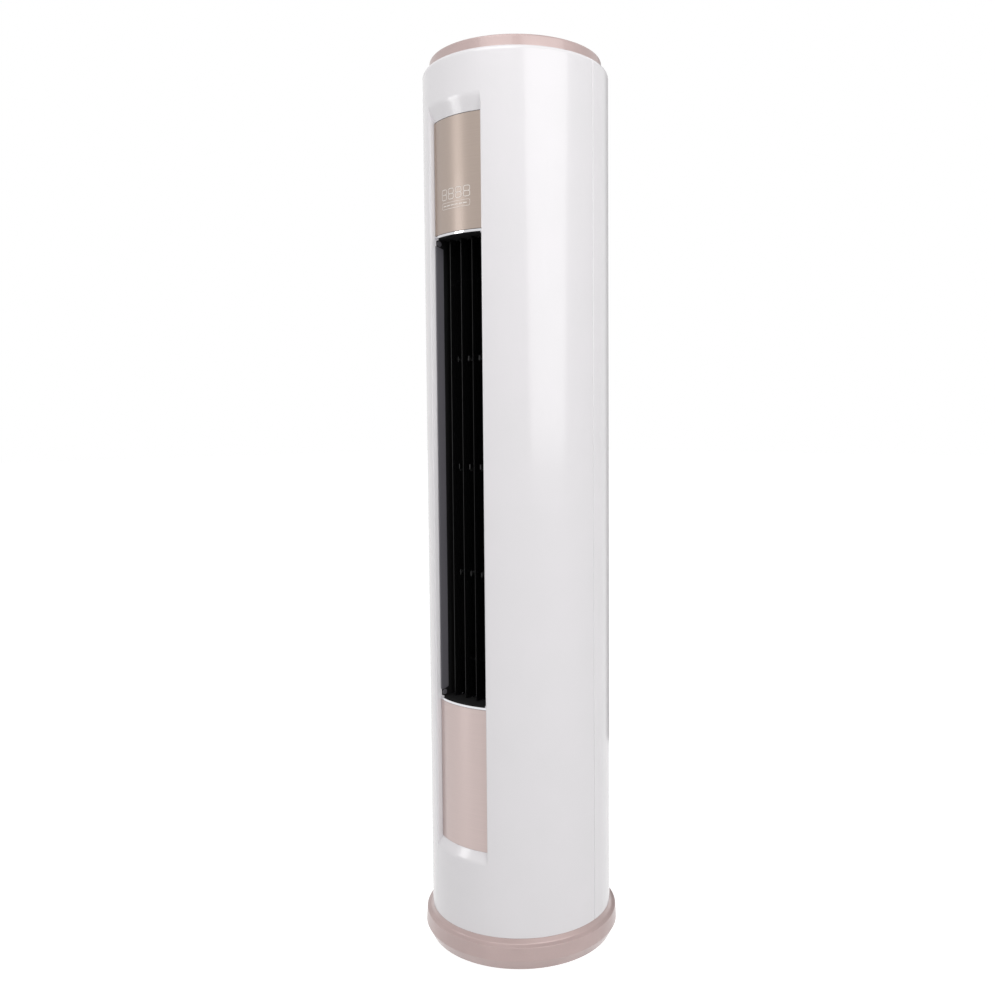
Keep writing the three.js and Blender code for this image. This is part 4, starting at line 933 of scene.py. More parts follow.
@dataclass
class Casing:
    """Front and rear shells of gloss ABS, with the recessed slot, seams and service cover."""

    recess_depth: float = 11
    ledge_depth: float = 13.9
    mouth_depth: float = 12.6
    ramp_blend: float = 0.35
    ramp_step: float = 1.5
    slot_ease: float = 4
    ledge: float = 6
    lip: float = 8
    shoulder_turns: range = range(12, 91, 13)
    grille_half: float = 50
    grille_levels: Span = (563, 1423)
    service_half: float = 38
    service_levels: Span = (75, 375)
    seat_depth: float = 3.3
    seat_ledge: float = 8
    seat_ease: float = 0.6
    rear_wall: float = 2
    cover_wall: float = 3
    pipe_hole: Span = (76, 56)
    pipe_hole_bottom: float = 93
    seam_round_front: float = 1
    seam_round_rear: float = 2.8
    strip_depth: float = 1.3
    strip_wall: float = 6
    strip_play: float = 0.05
    strip_edge: float = 0.1
    strip_bottom: float = 0.2

    def ramp(self, share: float) -> float:
        """Depth of a slot end, with a soft start at the outer face.

        Args:
            share: Share of the end's height, from its outer edge.

        Returns:
            The depth there.
        """
        soft = self.ramp_blend
        rise = share ** 2 / (2 * soft) if share < soft else share - soft / 2
        return self.recess_depth * rise / (1 - soft / 2)

    def slot_depth(self, z: float) -> float:
        """Depth of the slot, from its lower ramp to its upper one.

        Args:
            z: The level.

        Returns:
            The depth at that level.
        """
        if z <= S.lower_panel_bottom:
            return self.ramp((z - S.slot_bottom) / (S.lower_panel_bottom - S.slot_bottom))
        if z >= S.display_top:
            return self.ramp((S.slot_top - z) / (S.slot_top - S.display_top))
        if S.outlet_bottom <= z <= S.outlet_top:
            return self.mouth_depth
        return self.ledge_depth

    def rows(self, extra: Iterable[float] = ()) -> list[Point]:
        """Rows of a shell: upright wall, rounded shoulder and inner lip.

        Args:
            extra: Levels of further rows on the upright wall.

        Returns:
            Radius and level of each row.
        """
        upright = sorted({S.shell_bottom, S.shell_top - S.shoulder, *extra})
        rows = [(S.body_radius, z) for z in upright]
        centre_r, centre_z = S.body_radius - S.shoulder, S.shell_top - S.shoulder
        for turn in map(math.radians, self.shoulder_turns):
            across, up = S.shoulder * math.cos(turn), S.shoulder * math.sin(turn)
            rows.append((centre_r + across, centre_z + up))
        rows.append((centre_r - self.lip, S.shell_top + HAIR))
        return rows

    def front(self) -> Piece:
        """Front shell with its slot.

        Returns:
            The shell.
        """
        levels = steps(S.slot_bottom, S.lower_panel_bottom, self.ramp_step)
        levels += steps(S.display_top, S.slot_top, self.ramp_step)
        levels += [S.outlet_bottom - HAIR, S.outlet_top + HAIR]
        for z in (S.lower_panel_bottom, S.display_top):
            levels += [z - HAIR, z + HAIR]
        half = S.slot_half
        window = half - swept(self.ledge, S.panel_back)
        openings = [
            ((-window, window), (S.lower_panel_bottom + self.ledge, S.display_top - self.ledge)),
            ((-half + HAIR, half - HAIR), (S.outlet_bottom, S.outlet_top)),
        ]
        slot = Recess((-half, half), (S.slot_bottom, S.slot_top), self.slot_depth, self.slot_ease)
        limit = S.seam - swept(S.seam_gap / 2, S.body_radius)
        ease = self.seam_round_front
        shell = RoundWall((-limit, limit), self.rows(levels), openings, ease, recesses=[slot])
        return shell.build("front_shell_skin")

    def rear(self) -> Piece:
        """Rear shell with the seats of the intake grille and the service cover.

        Returns:
            The shell.
        """
        seats, openings = [], []
        inset, edge = swept(self.seat_ledge, S.body_radius), self.seat_ledge
        for half, (low, high) in (
            (self.grille_half, self.grille_levels), (self.service_half, self.service_levels),
        ):
            sides = (180 - half, 180 + half)
            seats.append(Recess(sides, (low, high), lambda _: self.seat_depth, self.seat_ease))
            openings.append(((sides[0] + inset, sides[1] - inset), (low + edge, high - edge)))
        limit = S.seam + swept(S.seam_gap / 2, S.body_radius)
        sides, ease = (limit, 360 - limit), self.seam_round_rear
        shell = RoundWall(sides, self.rows(), openings, ease, self.rear_wall, seats)
        return shell.build("rear_shell_skin")

    def service_cover(self) -> Piece:
        """Cover at the foot of the back, with the pipe outlet cut through it.

        Returns:
            The cover.
        """
        half = self.service_half - swept(S.fit, S.body_radius)
        side = math.degrees(math.asin(self.pipe_hole[0] / 2 / S.body_radius))
        hole = (self.pipe_hole_bottom, self.pipe_hole_bottom + self.pipe_hole[1])
        low, high = self.service_levels[0] + S.fit, self.service_levels[1] - S.fit
        ease = S.cover_ease
        rows = [(S.body_radius, z) for z in sorted({low, low + ease, *hole, high - ease, high})]
        openings = [((180 - side, 180 + side), hole)]
        cover = RoundWall((180 - half, 180 + half), rows, openings, ease, self.cover_wall)
        return cover.build("service_cover_skin")

    def seam_strip(self, side: int) -> Piece:
        """White strip that fills a seam to just under the shells' faces.

        Args:
            side: 1 for the right-hand seam and -1 for the left-hand one.

        Returns:
            The strip.
        """
        seam = side * S.seam
        reach = swept(S.seam_gap / 2 - self.strip_play, S.body_radius)
        outer = S.body_radius - self.strip_depth
        return curved_plate(
            f"seam_strip_{'right' if side > 0 else 'left'}", (outer - self.strip_wall, outer),
            (seam - reach, seam + reach),
            (S.shell_bottom + self.strip_bottom, S.shell_top - S.shoulder), self.strip_edge,
            step=0.2,
        )

    def build(self) -> None:
        """Builds and dresses the casing."""
        dress(self.front(), WHITE, "front_shell")
        dress(self.rear(), WHITE, "rear_shell")
        dress(self.service_cover(), WHITE, "service_cover")
        for side in (-1, 1):
            dress(self.seam_strip(side), WHITE)


@dataclass
class Base:
    """Flared rose-gold skirt and rubber pads."""

    skirt: tuple[tuple[float, float, float], ...] = (
        (189.6, 2, 0), (192.6, 2, 0.8), (204, 23, 1.0), (202, 49.5, 1.2), (193.6, 53.2, 5),
        (190.2, 62.7, 0.3), (187.3, 62.7, 0), (187.3, 58.7, 0), (184, 58.7, 0), (184, 55.7, 0),
        (198.7, 46.5, 0), (201, 23, 0),
    )
    pad_radius: float = 14
    pad_height: float = 5.7
    pad_round: float = 1
    pad_spread: float = 150

    def build(self) -> None:
        """Builds and dresses the base."""
        skirt = turned("base_skirt_ring", rounded(self.skirt), count=192)
        dress(skirt, ROSE, "base_skirt")
        radius, height, turn = self.pad_radius, self.pad_height, self.pad_round
        profile = rounded([(0, 0, 0), (radius, 0, turn), (radius, height, turn), (0, height, 0)])
        for i in range(4):
            pad = turned(f"pad_{i + 1}", profile, count=40)
            pad.data.transform(Matrix.Translation(at(self.pad_spread, 45 + 90 * i, 0)))
            dress(pad, RUBBER, f"foot_pad_{i + 1}")


@dataclass
class Top:
    """Rose-gold ring on the shells' lip and the white lid inside it."""

    ring_radius: float = 177
    ring_taper: float = 1.3
    ring_wall: float = 4
    ring_round: float = 4.5
    ring_foot_round: float = 0.5
    rim: float = 10
    step: float = 4
    height: float = 23
    cover_wall: float = 3
    cover_recess: float = 1

    def build(self) -> None:
        """Builds and dresses the top."""
        bottom, top = S.shell_top + S.fit, S.shell_top + self.height
        upper, edge = self.ring_radius - self.ring_taper, S.cover_ease
        rim, seat = upper - self.rim, top - self.cover_wall - self.cover_recess - S.fit
        ring = rounded([
            (self.ring_radius - self.ring_wall, bottom, 0),
            (self.ring_radius, bottom, self.ring_foot_round),
            (upper, top, self.ring_round), (rim, top, edge), (rim, seat, 0),
            (rim - self.step, seat, 0), (rim - self.step, seat - self.step, 0),
            (upper - self.ring_wall, seat - self.step, 0),
        ], fine=6)
        dress(turned("top_ring_smooth", ring, count=192), ROSE, "top_ring")
        lid, radius = top - self.cover_recess, rim - S.fit
        under = lid - self.cover_wall
        cover = rounded([(0, under, 0), (radius, under, 0), (radius, lid, edge), (0, lid, 0)])
        dress(turned("top_cover_smooth", cover), WHITE, "top_cover")


def slot_panel(name: str, gap: float, levels: Span) -> Piece:
    """Flush panel of the slot.

    Args:
        name: The object's name.
        gap: Gap at both its sides in millimetres.
        levels: Its lowest and highest level.

    Returns:
        The panel.
    """
    half = S.slot_half - swept(gap, S.panel_radius)
    return curved_plate(name, (S.panel_back, S.panel_radius), (-half, half), levels, S.panel_edge)


def gap_shade_sheet(
    name: str, levels: Span, play: float = 0.1, over: float = 0.2, sunk: float = 0.9
) -> None:
    """Builds and dresses a matt black sheet behind a panel, seen through the gaps round it as a thin
    dark line: painted shade in those gaps.

    Args:
        name: The object's name.
        levels: Its lowest and highest level.
        play: Gap at both its sides, in millimetres.
        over: How far its back lies behind the panel's.
        sunk: How far its face lies behind the panel's.
    """
    half = S.slot_half - swept(play, S.panel_radius)
    radii = (S.panel_back - over, S.panel_radius - sunk)
    dress(curved_plate(name, radii, (-half, half), levels, edge=0.2), BLACK)


@dataclass
class Display:
    """Champagne display panel with unlit segments and thin icon lines printed behind it."""

    digit_count: int = 4
    digit_width: float = 15
    digit_height: float = 20
    digit_pitch: float = 20.5
    digit_round: float = 4.2
    digit_level: float = 1516
    shift: float = 3
    stroke: float = 1.4
    bar_step: float = 4
    ink: float = 0.3
    proud: float = 0.12
    box_levels: Span = (1498, 1510)
    box_stroke: float = 0.8
    box_margin: float = 5
    dash: float = 9
    dash_stroke: float = 2
    dash_pitch: float = 13
    frame_gap: float = 0.8
    edge_radii: Span = (178.8, 179.7)
    edge_sides: Span = (0.15, 1.9)
    edge_ends: Span = (1, 2)
    edge_round: float = 0.35

    def bar(self, bm: Mesh, start: Point, end: Point, stroke: float) -> None:
        """Adds a thin printed bar between two places on the panel.

        Args:
            bm: The mesh that takes it.
            start: Arc length from the panel's middle, and level, where it starts.
            end: The same where it ends.
            stroke: Its width.
        """
        one, two = Vector(start), Vector(end)
        along = (two - one).normalized()
        across = Vector((-along.y, along.x)) * stroke / 2
        face = S.panel_radius + self.proud
        count = max(1, math.ceil(abs(two.x - one.x) / self.bar_step))
        rings = []
        for i in range(count + 1):
            spot = one.lerp(two, i / count)
            low, high = spot - across, spot + across
            ring = ((low, face - self.ink), (low, face), (high, face), (high, face - self.ink))
            rings.append([bm.verts.new(at(r, swept(p.x, S.panel_radius), p.y)) for p, r in ring])
        lofted(bm, rings)

    def loop(self, bm: Mesh, sides: Span, levels: Span, stroke: float) -> None:
        """Adds a printed rounded rectangle.

        Args:
            bm: The mesh that takes it.
            sides: Arc lengths of its left and right edge.
            levels: Levels of its lower and upper edge.
            stroke: Width of the line.
        """
        (left, right), (low, high) = sides, levels
        turn = min(self.digit_round, (right - left) / 2, (high - low) / 2)
        corners = ((left, low), (right, low), (right, high), (left, high))
        line = rounded([(x, z, turn) for x, z in corners])
        for one, two in zip(line, line[1:] + line[:1]):
            if math.dist(one, two) > 1e-3:
                self.bar(bm, one, two, stroke)

    def digits(self) -> Piece:
        """Four digits with every segment showing, each two round-cornered loops.

        Returns:
            The digits.
        """
        bm = bmesh.new()
        half = self.digit_width / 2
        low, mid, high = (self.digit_level + self.digit_height * share for share in (0, 0.5, 1))
        for i in range(self.digit_count):
            x = (i - (self.digit_count - 1) / 2) * self.digit_pitch + self.shift
            self.loop(bm, (x - half, x + half), (low, mid), self.stroke)
            self.loop(bm, (x - half, x + half), (mid, high), self.stroke)
        return finished(bm, "display_digits", outward=True)

    def rules(self) -> Piece:
        """Outlined box under the digits with a row of dashes in it.

        Returns:
            The box and its dashes.
        """
        bm = bmesh.new()
        half = (self.digit_count - 1) / 2 * self.digit_pitch + self.digit_width / 2
        left, right = self.shift - half, self.shift + half
        self.loop(bm, (left, right), self.box_levels, self.box_stroke)
        z = sum(self.box_levels) / 2
        for x in steps(left + self.box_margin, right - self.box_margin, self.dash_pitch)[:-1]:
            self.bar(bm, (x, z), (x + self.dash, z), self.dash_stroke)
        return finished(bm, "display_rules", outward=True)

    def edge_strip(self) -> Piece:
        """Bright edge down the panel's left-hand side.

        Returns:
            The strip.
        """
        side = swept(self.frame_gap, S.panel_radius) - S.slot_half
        sides = (side + self.edge_sides[0], side + self.edge_sides[1])
        levels = (S.display_bottom + self.edge_ends[0], S.display_top - self.edge_ends[1])
        radii, turn = self.edge_radii, self.edge_round
        return curved_plate("display_edge_strip", radii, sides, levels, turn, step=0.5)

    def build(self) -> None:
        """Builds and dresses the display."""
        bottom, top = S.display_bottom, S.display_top - S.fit
        levels = (bottom + self.frame_gap, top - self.frame_gap)
        panel = slot_panel("display_panel_smooth", self.frame_gap, levels)
        dress(panel, CHAMPAGNE, "display_panel")
        # Black sheet behind the display: painted shade in the gaps round it.
        gap_shade_sheet("display_gasket", (bottom + S.shadow_gap, top - S.shadow_gap))
        dress(self.edge_strip(), CHAMPAGNE)
        dress(self.digits(), PRINT)
        dress(self.rules(), PRINT)


@dataclass
class LowerPanel:
    """Brushed rose panel under the outlet, and the bright strips at both ends of the outlet."""

    frame_gap: float = 0.6
    bottom_gap: float = 0.2
    # Rise of the black sheet's bottom over the panel's, so that no painted shade line shows under
    # the panel.
    gap_shade_rise: float = 1.2
    trim_proud: float = 1.2
    trim_round: float = 0.9

    def trim(self, place: str, levels: Span) -> None:
        """Builds and dresses one bright strip.

        Args:
            place: Its place, upper or lower, which names it and its node.
            levels: Its lowest and highest level.
        """
        half = S.slot_half - swept(S.fit, S.panel_radius)
        name, radii = f"{place}_trim_smooth", (S.panel_back, S.panel_radius + self.trim_proud)
        strip = curved_plate(name, radii, (-half, half), levels, self.trim_round, step=1.0)
        dress(strip, CHROME, f"{place}_trim")

    def build(self) -> None:
        """Builds and dresses the panel and its strips."""
        bottom, top, gap = S.lower_panel_bottom, S.lower_trim_bottom, S.shadow_gap
        levels = (bottom + self.bottom_gap, top - self.frame_gap)
        dress(slot_panel("lower_panel_smooth", self.frame_gap, levels), ROSE_FILM, "lower_panel")
        # Black sheet behind the lower panel: painted shade in the gaps round it.
        gap_shade_sheet("lower_gasket", (bottom + self.gap_shade_rise, top - gap))
        self.trim("upper", (S.outlet_top, S.display_bottom - gap))
        self.trim("lower", (top + gap, S.outlet_bottom))


@dataclass
class Outlet:
    """Vanes with their pins and notches, and the grey liners."""

    chord: float = 40
    thickness: float = 3.2
    section_steps: int = 28
    end_gap: float = 1
    outer_vane: float = 46.512
    pin_radius: float = 4
    pin_reach: float = 2.7
    journal_radius: float = 2.2
    crank_radius: float = 15
    crank_pin_radius: float = 1.8
    stub_half: float = 6
    notch: float = 10
    journal_notch: float = -5.5
    crank_notch: float = 8.5
    supports: tuple[float, ...] = (1210, 992.5, 775)
    links: tuple[float, ...] = (1368, 596)
    vane_sharp: float = 35
    liner_proud: float = 1.2
    liner_wall: float = 2.4
    liner_depth: float = 20
    liner_end: float = 13
    liner_slope: float = 5
    liner_rounds: tuple[float, float, float, float] = (5, 3, 1, 1)
    liner_edge: float = 0.5
    lug_radius: float = 5.5
    lug_inset: float = 8
    lug_sunk: float = 0.2

    def section(self, cut: float | None = None) -> list[Point]:
        """Lens-shaped outline of a vane in plan.

        Args:
            cut: Line behind which it is cut off, if any.

        Returns:
            The outline's points.
        """
        half = self.chord / 2
        end = half if cut is None else cut
        turns = [math.pi * i / self.section_steps for i in range(self.section_steps + 1)]
        ys = [-half * math.cos(turn) for turn in turns]
        ys = [y for y in ys if y < end] + [end]
        thick = [self.thickness / 2 * math.sqrt(max(0.0, 1 - abs(y / half) ** 3)) for y in ys]
        right = list(zip(thick, ys))
        return right + [(-x, y) for x, y in reversed(right) if x > 1e-6]

    def vane(self, name: str, x: float) -> Piece:
        """One vane with its pins, from the duct's floor to its roof.

        Args:
            name: The object's name.
            x: X of its axis in millimetres.

        Returns:
            The vane.
        """
        bottom, top = S.outlet_bottom + self.end_gap, S.outlet_top - self.end_gap
        notches = [(level, self.journal_notch) for level in self.supports]
        notches += [(level, self.crank_notch) for level in self.links]
        bm = bmesh.new()
        start = bottom
        for level, cut in sorted(notches):
            low, high = level - self.notch / 2, level + self.notch / 2
            prism(bm, self.section(), start, low)
            prism(bm, self.section(cut), low, high)
            start = high
        prism(bm, self.section(), start, top)
        journal = disc(self.journal_radius)
        crank = disc(self.crank_pin_radius, 0, self.crank_radius, count=16)
        stubs = [(level, journal) for level in self.supports]
        for level, outline in stubs + [(level, crank) for level in self.links]:
            prism(bm, outline, level - self.stub_half, level + self.stub_half)
        pin = disc(self.pin_radius)
        prism(bm, pin, S.outlet_bottom - self.pin_reach, bottom + self.end_gap)
        prism(bm, pin, top - self.end_gap, S.outlet_top + self.pin_reach)
        vane = finished(bm, name, outward=True, merge=False, sharp=self.vane_sharp)
        vane.data.transform(Matrix.Translation(Vector((x, S.vane_axis_y, 0)) * MM))
        return vane

    def liner(self, side: int) -> Piece:
        """Grey liner inside a side of the outlet, sloped at its ends, with round end lugs.

        Args:
            side: 1 for the right-hand side and -1 for the left-hand one.

        Returns:
            The liner.
        """
        outer = S.duct_half - S.fit
        front = -math.sqrt((S.panel_radius + self.liner_proud) ** 2 - outer ** 2)
        back, slope = front + self.liner_depth, self.liner_slope
        low, high = S.outlet_bottom + self.liner_end, S.outlet_top - self.liner_end
        corners = ((front, low), (back, low + slope), (back, high - slope), (front, high))
        plate = rounded([(y, z, turn) for (y, z), turn in zip(corners, self.liner_rounds)])
        bm = bmesh.new()
        ends = sorted((side * outer, side * (outer - self.liner_wall)))
        prism(bm, plate, *ends, upright=False)
        for level in (S.outlet_bottom + self.lug_inset, S.outlet_top - self.lug_inset):
            lug = disc(self.lug_radius, (front + back) / 2, level)
            prism(bm, lug, ends[0] + self.lug_sunk, ends[1] - self.lug_sunk, upright=False)
        name = f"outlet_liner_{'right' if side > 0 else 'left'}"
        return eased(finished(bm, name, outward=True), self.liner_edge)

    def build(self) -> None:
        """Builds and dresses the outlet."""
        bodies = (Body.VANE_1, Body.VANE_2, Body.VANE_3, Body.VANE_4)
        for i, body in enumerate(bodies):
            x = self.outer_vane * (2 * i / (len(bodies) - 1) - 1)
            dress(self.vane(f"vane_blade_{i + 1}", x), BLACK_GLOSS, f"vane_{i + 1}", body=body)
        dress(self.liner(-1), GREY, "side_liner_left")
        dress(self.liner(1), GREY, "side_liner_right")


@dataclass
class Blower:
    """Cross-flow wheel with its full set of blades."""

    radius: float = 56
    depth: float = 13
    blades: int = 34
    blade_half: float = 0.5
    blade_lean: float = 11
    blade_curve: float = 1.6
    blade_end: float = 1
    blade_steps: int = 4
    sections: int = 3
    levels: Span = (530, 1437)
    disc_wall: float = 3
    disc_overlap: float = 2
    disc_steps: int = 64
    bore: float = 6.3
    hub: Span = (18, 12)

    def blade(self) -> Piece:
        """One curved blade at bearing 0 about the fan's axis.

        Returns:
            The blade.
        """
        inner, reach = self.radius - self.depth, self.depth - self.blade_half
        shares = [i / self.blade_steps for i in range(self.blade_steps + 1)]
        line = [(inner + reach * t, self.blade_lean * t ** self.blade_curve) for t in shares]
        outline = [at(r, a + swept(self.blade_half, r), 0) / MM for r, a in line]
        outline += [at(r, a - swept(self.blade_half, r), 0) / MM for r, a in reversed(line)]
        low, high = self.levels[0] + self.blade_end, self.levels[1] - self.blade_end
        return extruded("blade_template", [(p.x, p.y) for p in outline], low, high)

    def discs(self) -> Piece:
        """End discs, middle rings and hubs, in one mesh.

        Returns:
            The discs.
        """
        low, high = self.levels
        rings = []
        for i in range(self.sections + 1):
            z = low + (high - low - self.disc_wall) * i / self.sections
            end = i in (0, self.sections)
            inner = self.bore if end else self.radius - self.depth - self.disc_overlap
            rings.append((inner, self.radius, z, z + self.disc_wall))
        rings.append((self.bore, self.hub[0], low, low + self.hub[1]))
        rings.append((self.bore, self.hub[0], high - self.hub[1], high))
        bm = bmesh.new()
        for inner, outer, low, high in rings:
            section = ((inner, low), (outer, low), (outer, high), (inner, high))
            revolved(bm, section, self.disc_steps)
        piece = finished(bm, "fan_discs", outward=True)
        piece.data.transform(Matrix.Translation(Vector((0, S.fan_axis_y, 0)) * MM))
        return piece

    def build(self) -> None:
        """Builds and dresses the wheel."""
        sides = (0, 360 - 360 / self.blades)
        wheel = around_axis("fan_blades", self.blade(), sides, self.blades, BLACK, S.fan_axis_y)
        dress(wheel, BLACK, "cross_flow_fan", body=Body.FAN)
        dress(self.discs(), BLACK, body=Body.FAN)


@dataclass
class Exchanger:
    """Finned coil: a stack of upright fins bent round the fan."""

    inner: float = 118
    outer: float = 146
    half_sweep: float = 114
    levels: Span = (492.9, 1465.4)
    fin_pitch: float = 2.4
    fin_wall: float = 0.25

    def build(self) -> None:
        """Builds and dresses the fins."""
        half, near, far = self.fin_wall / 2, -self.inner, -self.outer
        section = [(-half, far), (half, far), (half, near), (-half, near)]
        fin = extruded("fin_template", section, *self.levels)
        middle = (self.inner + self.outer) / 2
        count = round(math.radians(2 * self.half_sweep) * middle / self.fin_pitch)
        sides = (180 - self.half_sweep, 180 + self.half_sweep)
        dress(around_axis("coil_fin_stack", fin, sides, count, FINS), FINS, "coil_fins")


@dataclass
class Intake:
    """Rear intake grille: a curved frame with a fine row of upright bars."""

    half: float = 49.9
    levels: Span = (563.3, 1422.7)
    border: float = 14
    wall: float = 3
    bars: int = 41
    bar_width: float = 3.2
    bar_round: float = 0.9
    bar_sunk: float = 0.4
    bar_inset: float = 4
    rails: int = 4

    def frame(self) -> Piece:
        """Border and level rails of the grille.

        Returns:
            The frame.
        """
        low, high = self.levels
        side = self.half - swept(self.border, S.body_radius)
        pitch = (high - low - self.border) / self.rails
        bays = [(low + self.border + i * pitch, low + (i + 1) * pitch) for i in range(self.rails)]
        rows = [(S.body_radius, z) for z in sorted({low, high, *(z for bay in bays for z in bay)})]
        openings = [((180 - side, 180 + side), bay) for bay in bays]
        sides = (180 - self.half, 180 + self.half)
        return RoundWall(sides, rows, openings, S.cover_ease, self.wall).build("grille_frame")

    def build(self) -> None:
        """Builds and dresses the grille."""
        dress(self.frame(), WHITE, "intake_grille", body=Body.INTAKE)
        half, turn = self.bar_width / 2, self.bar_round
        far, near = self.bar_sunk - S.body_radius, self.wall - S.body_radius
        corners = [(-half, near, 0), (-half, far, turn), (half, far, turn), (half, near, 0)]
        low, high = self.levels[0] + self.bar_inset, self.levels[1] - self.bar_inset
        bar = extruded("bar_template", rounded(corners, fine=3), low, high)
        reach = (self.half - swept(self.border, S.body_radius)) * (1 - 1 / self.bars)
        bars = around_axis("grille_bars", bar, (180 - reach, 180 + reach), self.bars, WHITE)
        dress(bars, WHITE, body=Body.INTAKE)


@dataclass
class BackFittings:
    """Pan-head screws of the back."""

    head_radius: float = 3.6
    head_height: float = 1.5
    head_foot: float = -0.6
    head_side: Span = (0.4, 0.6)
    head_crown: Span = (0.62, 1.2)
    sink: float = 0.9
    cover_side: float = 33
    cover_levels: tuple[float, ...] = (90, 360)
    shell_side: float = 44
    shell_levels: tuple[float, ...] = (480, 1480, 1740)

    def head(self) -> Piece:
        """Pan head at the origin, facing up.

        Returns:
            The head, to be copied.
        """
        radius, height, foot = self.head_radius, self.head_height, self.head_foot
        (up, side_turn), (out, crown_turn) = self.head_side, self.head_crown
        profile = rounded([
            (0, foot, 0), (radius, foot, 0), (radius, height * up, side_turn),
            (radius * out, height, crown_turn), (0, height, 0),
        ], fine=3)
        return turned("screw_template", profile, count=24)

    def screws(self, name: str, side: float, levels: Sequence[float]) -> None:
        """Sets screw heads on the round wall, at points that hold their facing, and dresses them.

        Args:
            name: The object's name.
            side: Bearing of the screws to either side of the back's middle.
            levels: Their levels.
        """

        def place(tree: Tree, given: Outputs) -> tuple[Socket, Socket]:
            """Adds the given points, with rotations that turn Z to each one's facing.

            Args:
                tree: The tree.
                given: Its named inputs.

            Returns:
                The points and their rotations.
            """
            spots = add(tree, "GeometryNodeObjectInfo", Object=given["Spots"]).outputs["Geometry"]
            points = add(tree, "GeometryNodeMeshToPoints", Mesh=spots)
            kind = {"data_type": "FLOAT_VECTOR"}
            facing = add(tree, "GeometryNodeInputNamedAttribute", kind, Name="facing").outputs[0]
            turn = add(tree, "FunctionNodeAlignRotationToVector", {"axis": "Z"}, Vector=facing)
            return points.outputs[0], turn.outputs[0]

        places = [(180 + way * side, z) for way in (-1, 1) for z in levels]
        spots = bpy.data.meshes.new(f"{name}_spots")
        radius = S.body_radius - self.sink
        spots.from_pydata([at(radius, bearing, z) for bearing, z in places], [], [])
        facing = spots.attributes.new("facing", "FLOAT_VECTOR", "POINT")
        for item, (bearing, _) in zip(facing.data, places):
            item.vector = at(1 / MM, bearing, 0)
        values = {
            "Template": self.head(),
            "Spots": linked(f"{name}_spots", spots),
            "Finish": ZINC_SCREW.material(),
        }
        dress(copied(name, values, place), ZINC_SCREW)

    def build(self) -> None:
        """Builds and dresses the screws."""
        self.screws("service_screws", self.cover_side, self.cover_levels)
        self.screws("shell_screws", self.shell_side, self.shell_levels)


@dataclass
class CarriedNodes:
    """CAD nodes whose shapes are right: each gets the finish of its slot."""

    frame: dict
    shafts: tuple[str, ...] = ("drive_shaft", "idler_shaft", "swing_shaft")

    def build(self) -> None:
        """Dresses every node, also those that a smoother piece stands for."""
        for part in self.frame["record"]["subparts"]:
            finish = NODE_FINISH[Slot(part["material_slot"])]
            if part["node"] in self.shafts:
                finish = BRIGHT_STEEL
            for slot in self.frame["nodes"][part["node"]].material_slots:
                slot.material = finish.material()
            LOG.info("%s carried in %s", part["node"], finish.name)


# ---- studio


@dataclass(frozen=True)
class Lamp:
    """A soft lamp: its bearing, distance and height, its width and height, and its watts."""

    name: str
    bearing: float
    distance: float
    level: float
    width: float
    tall: float
    power: float


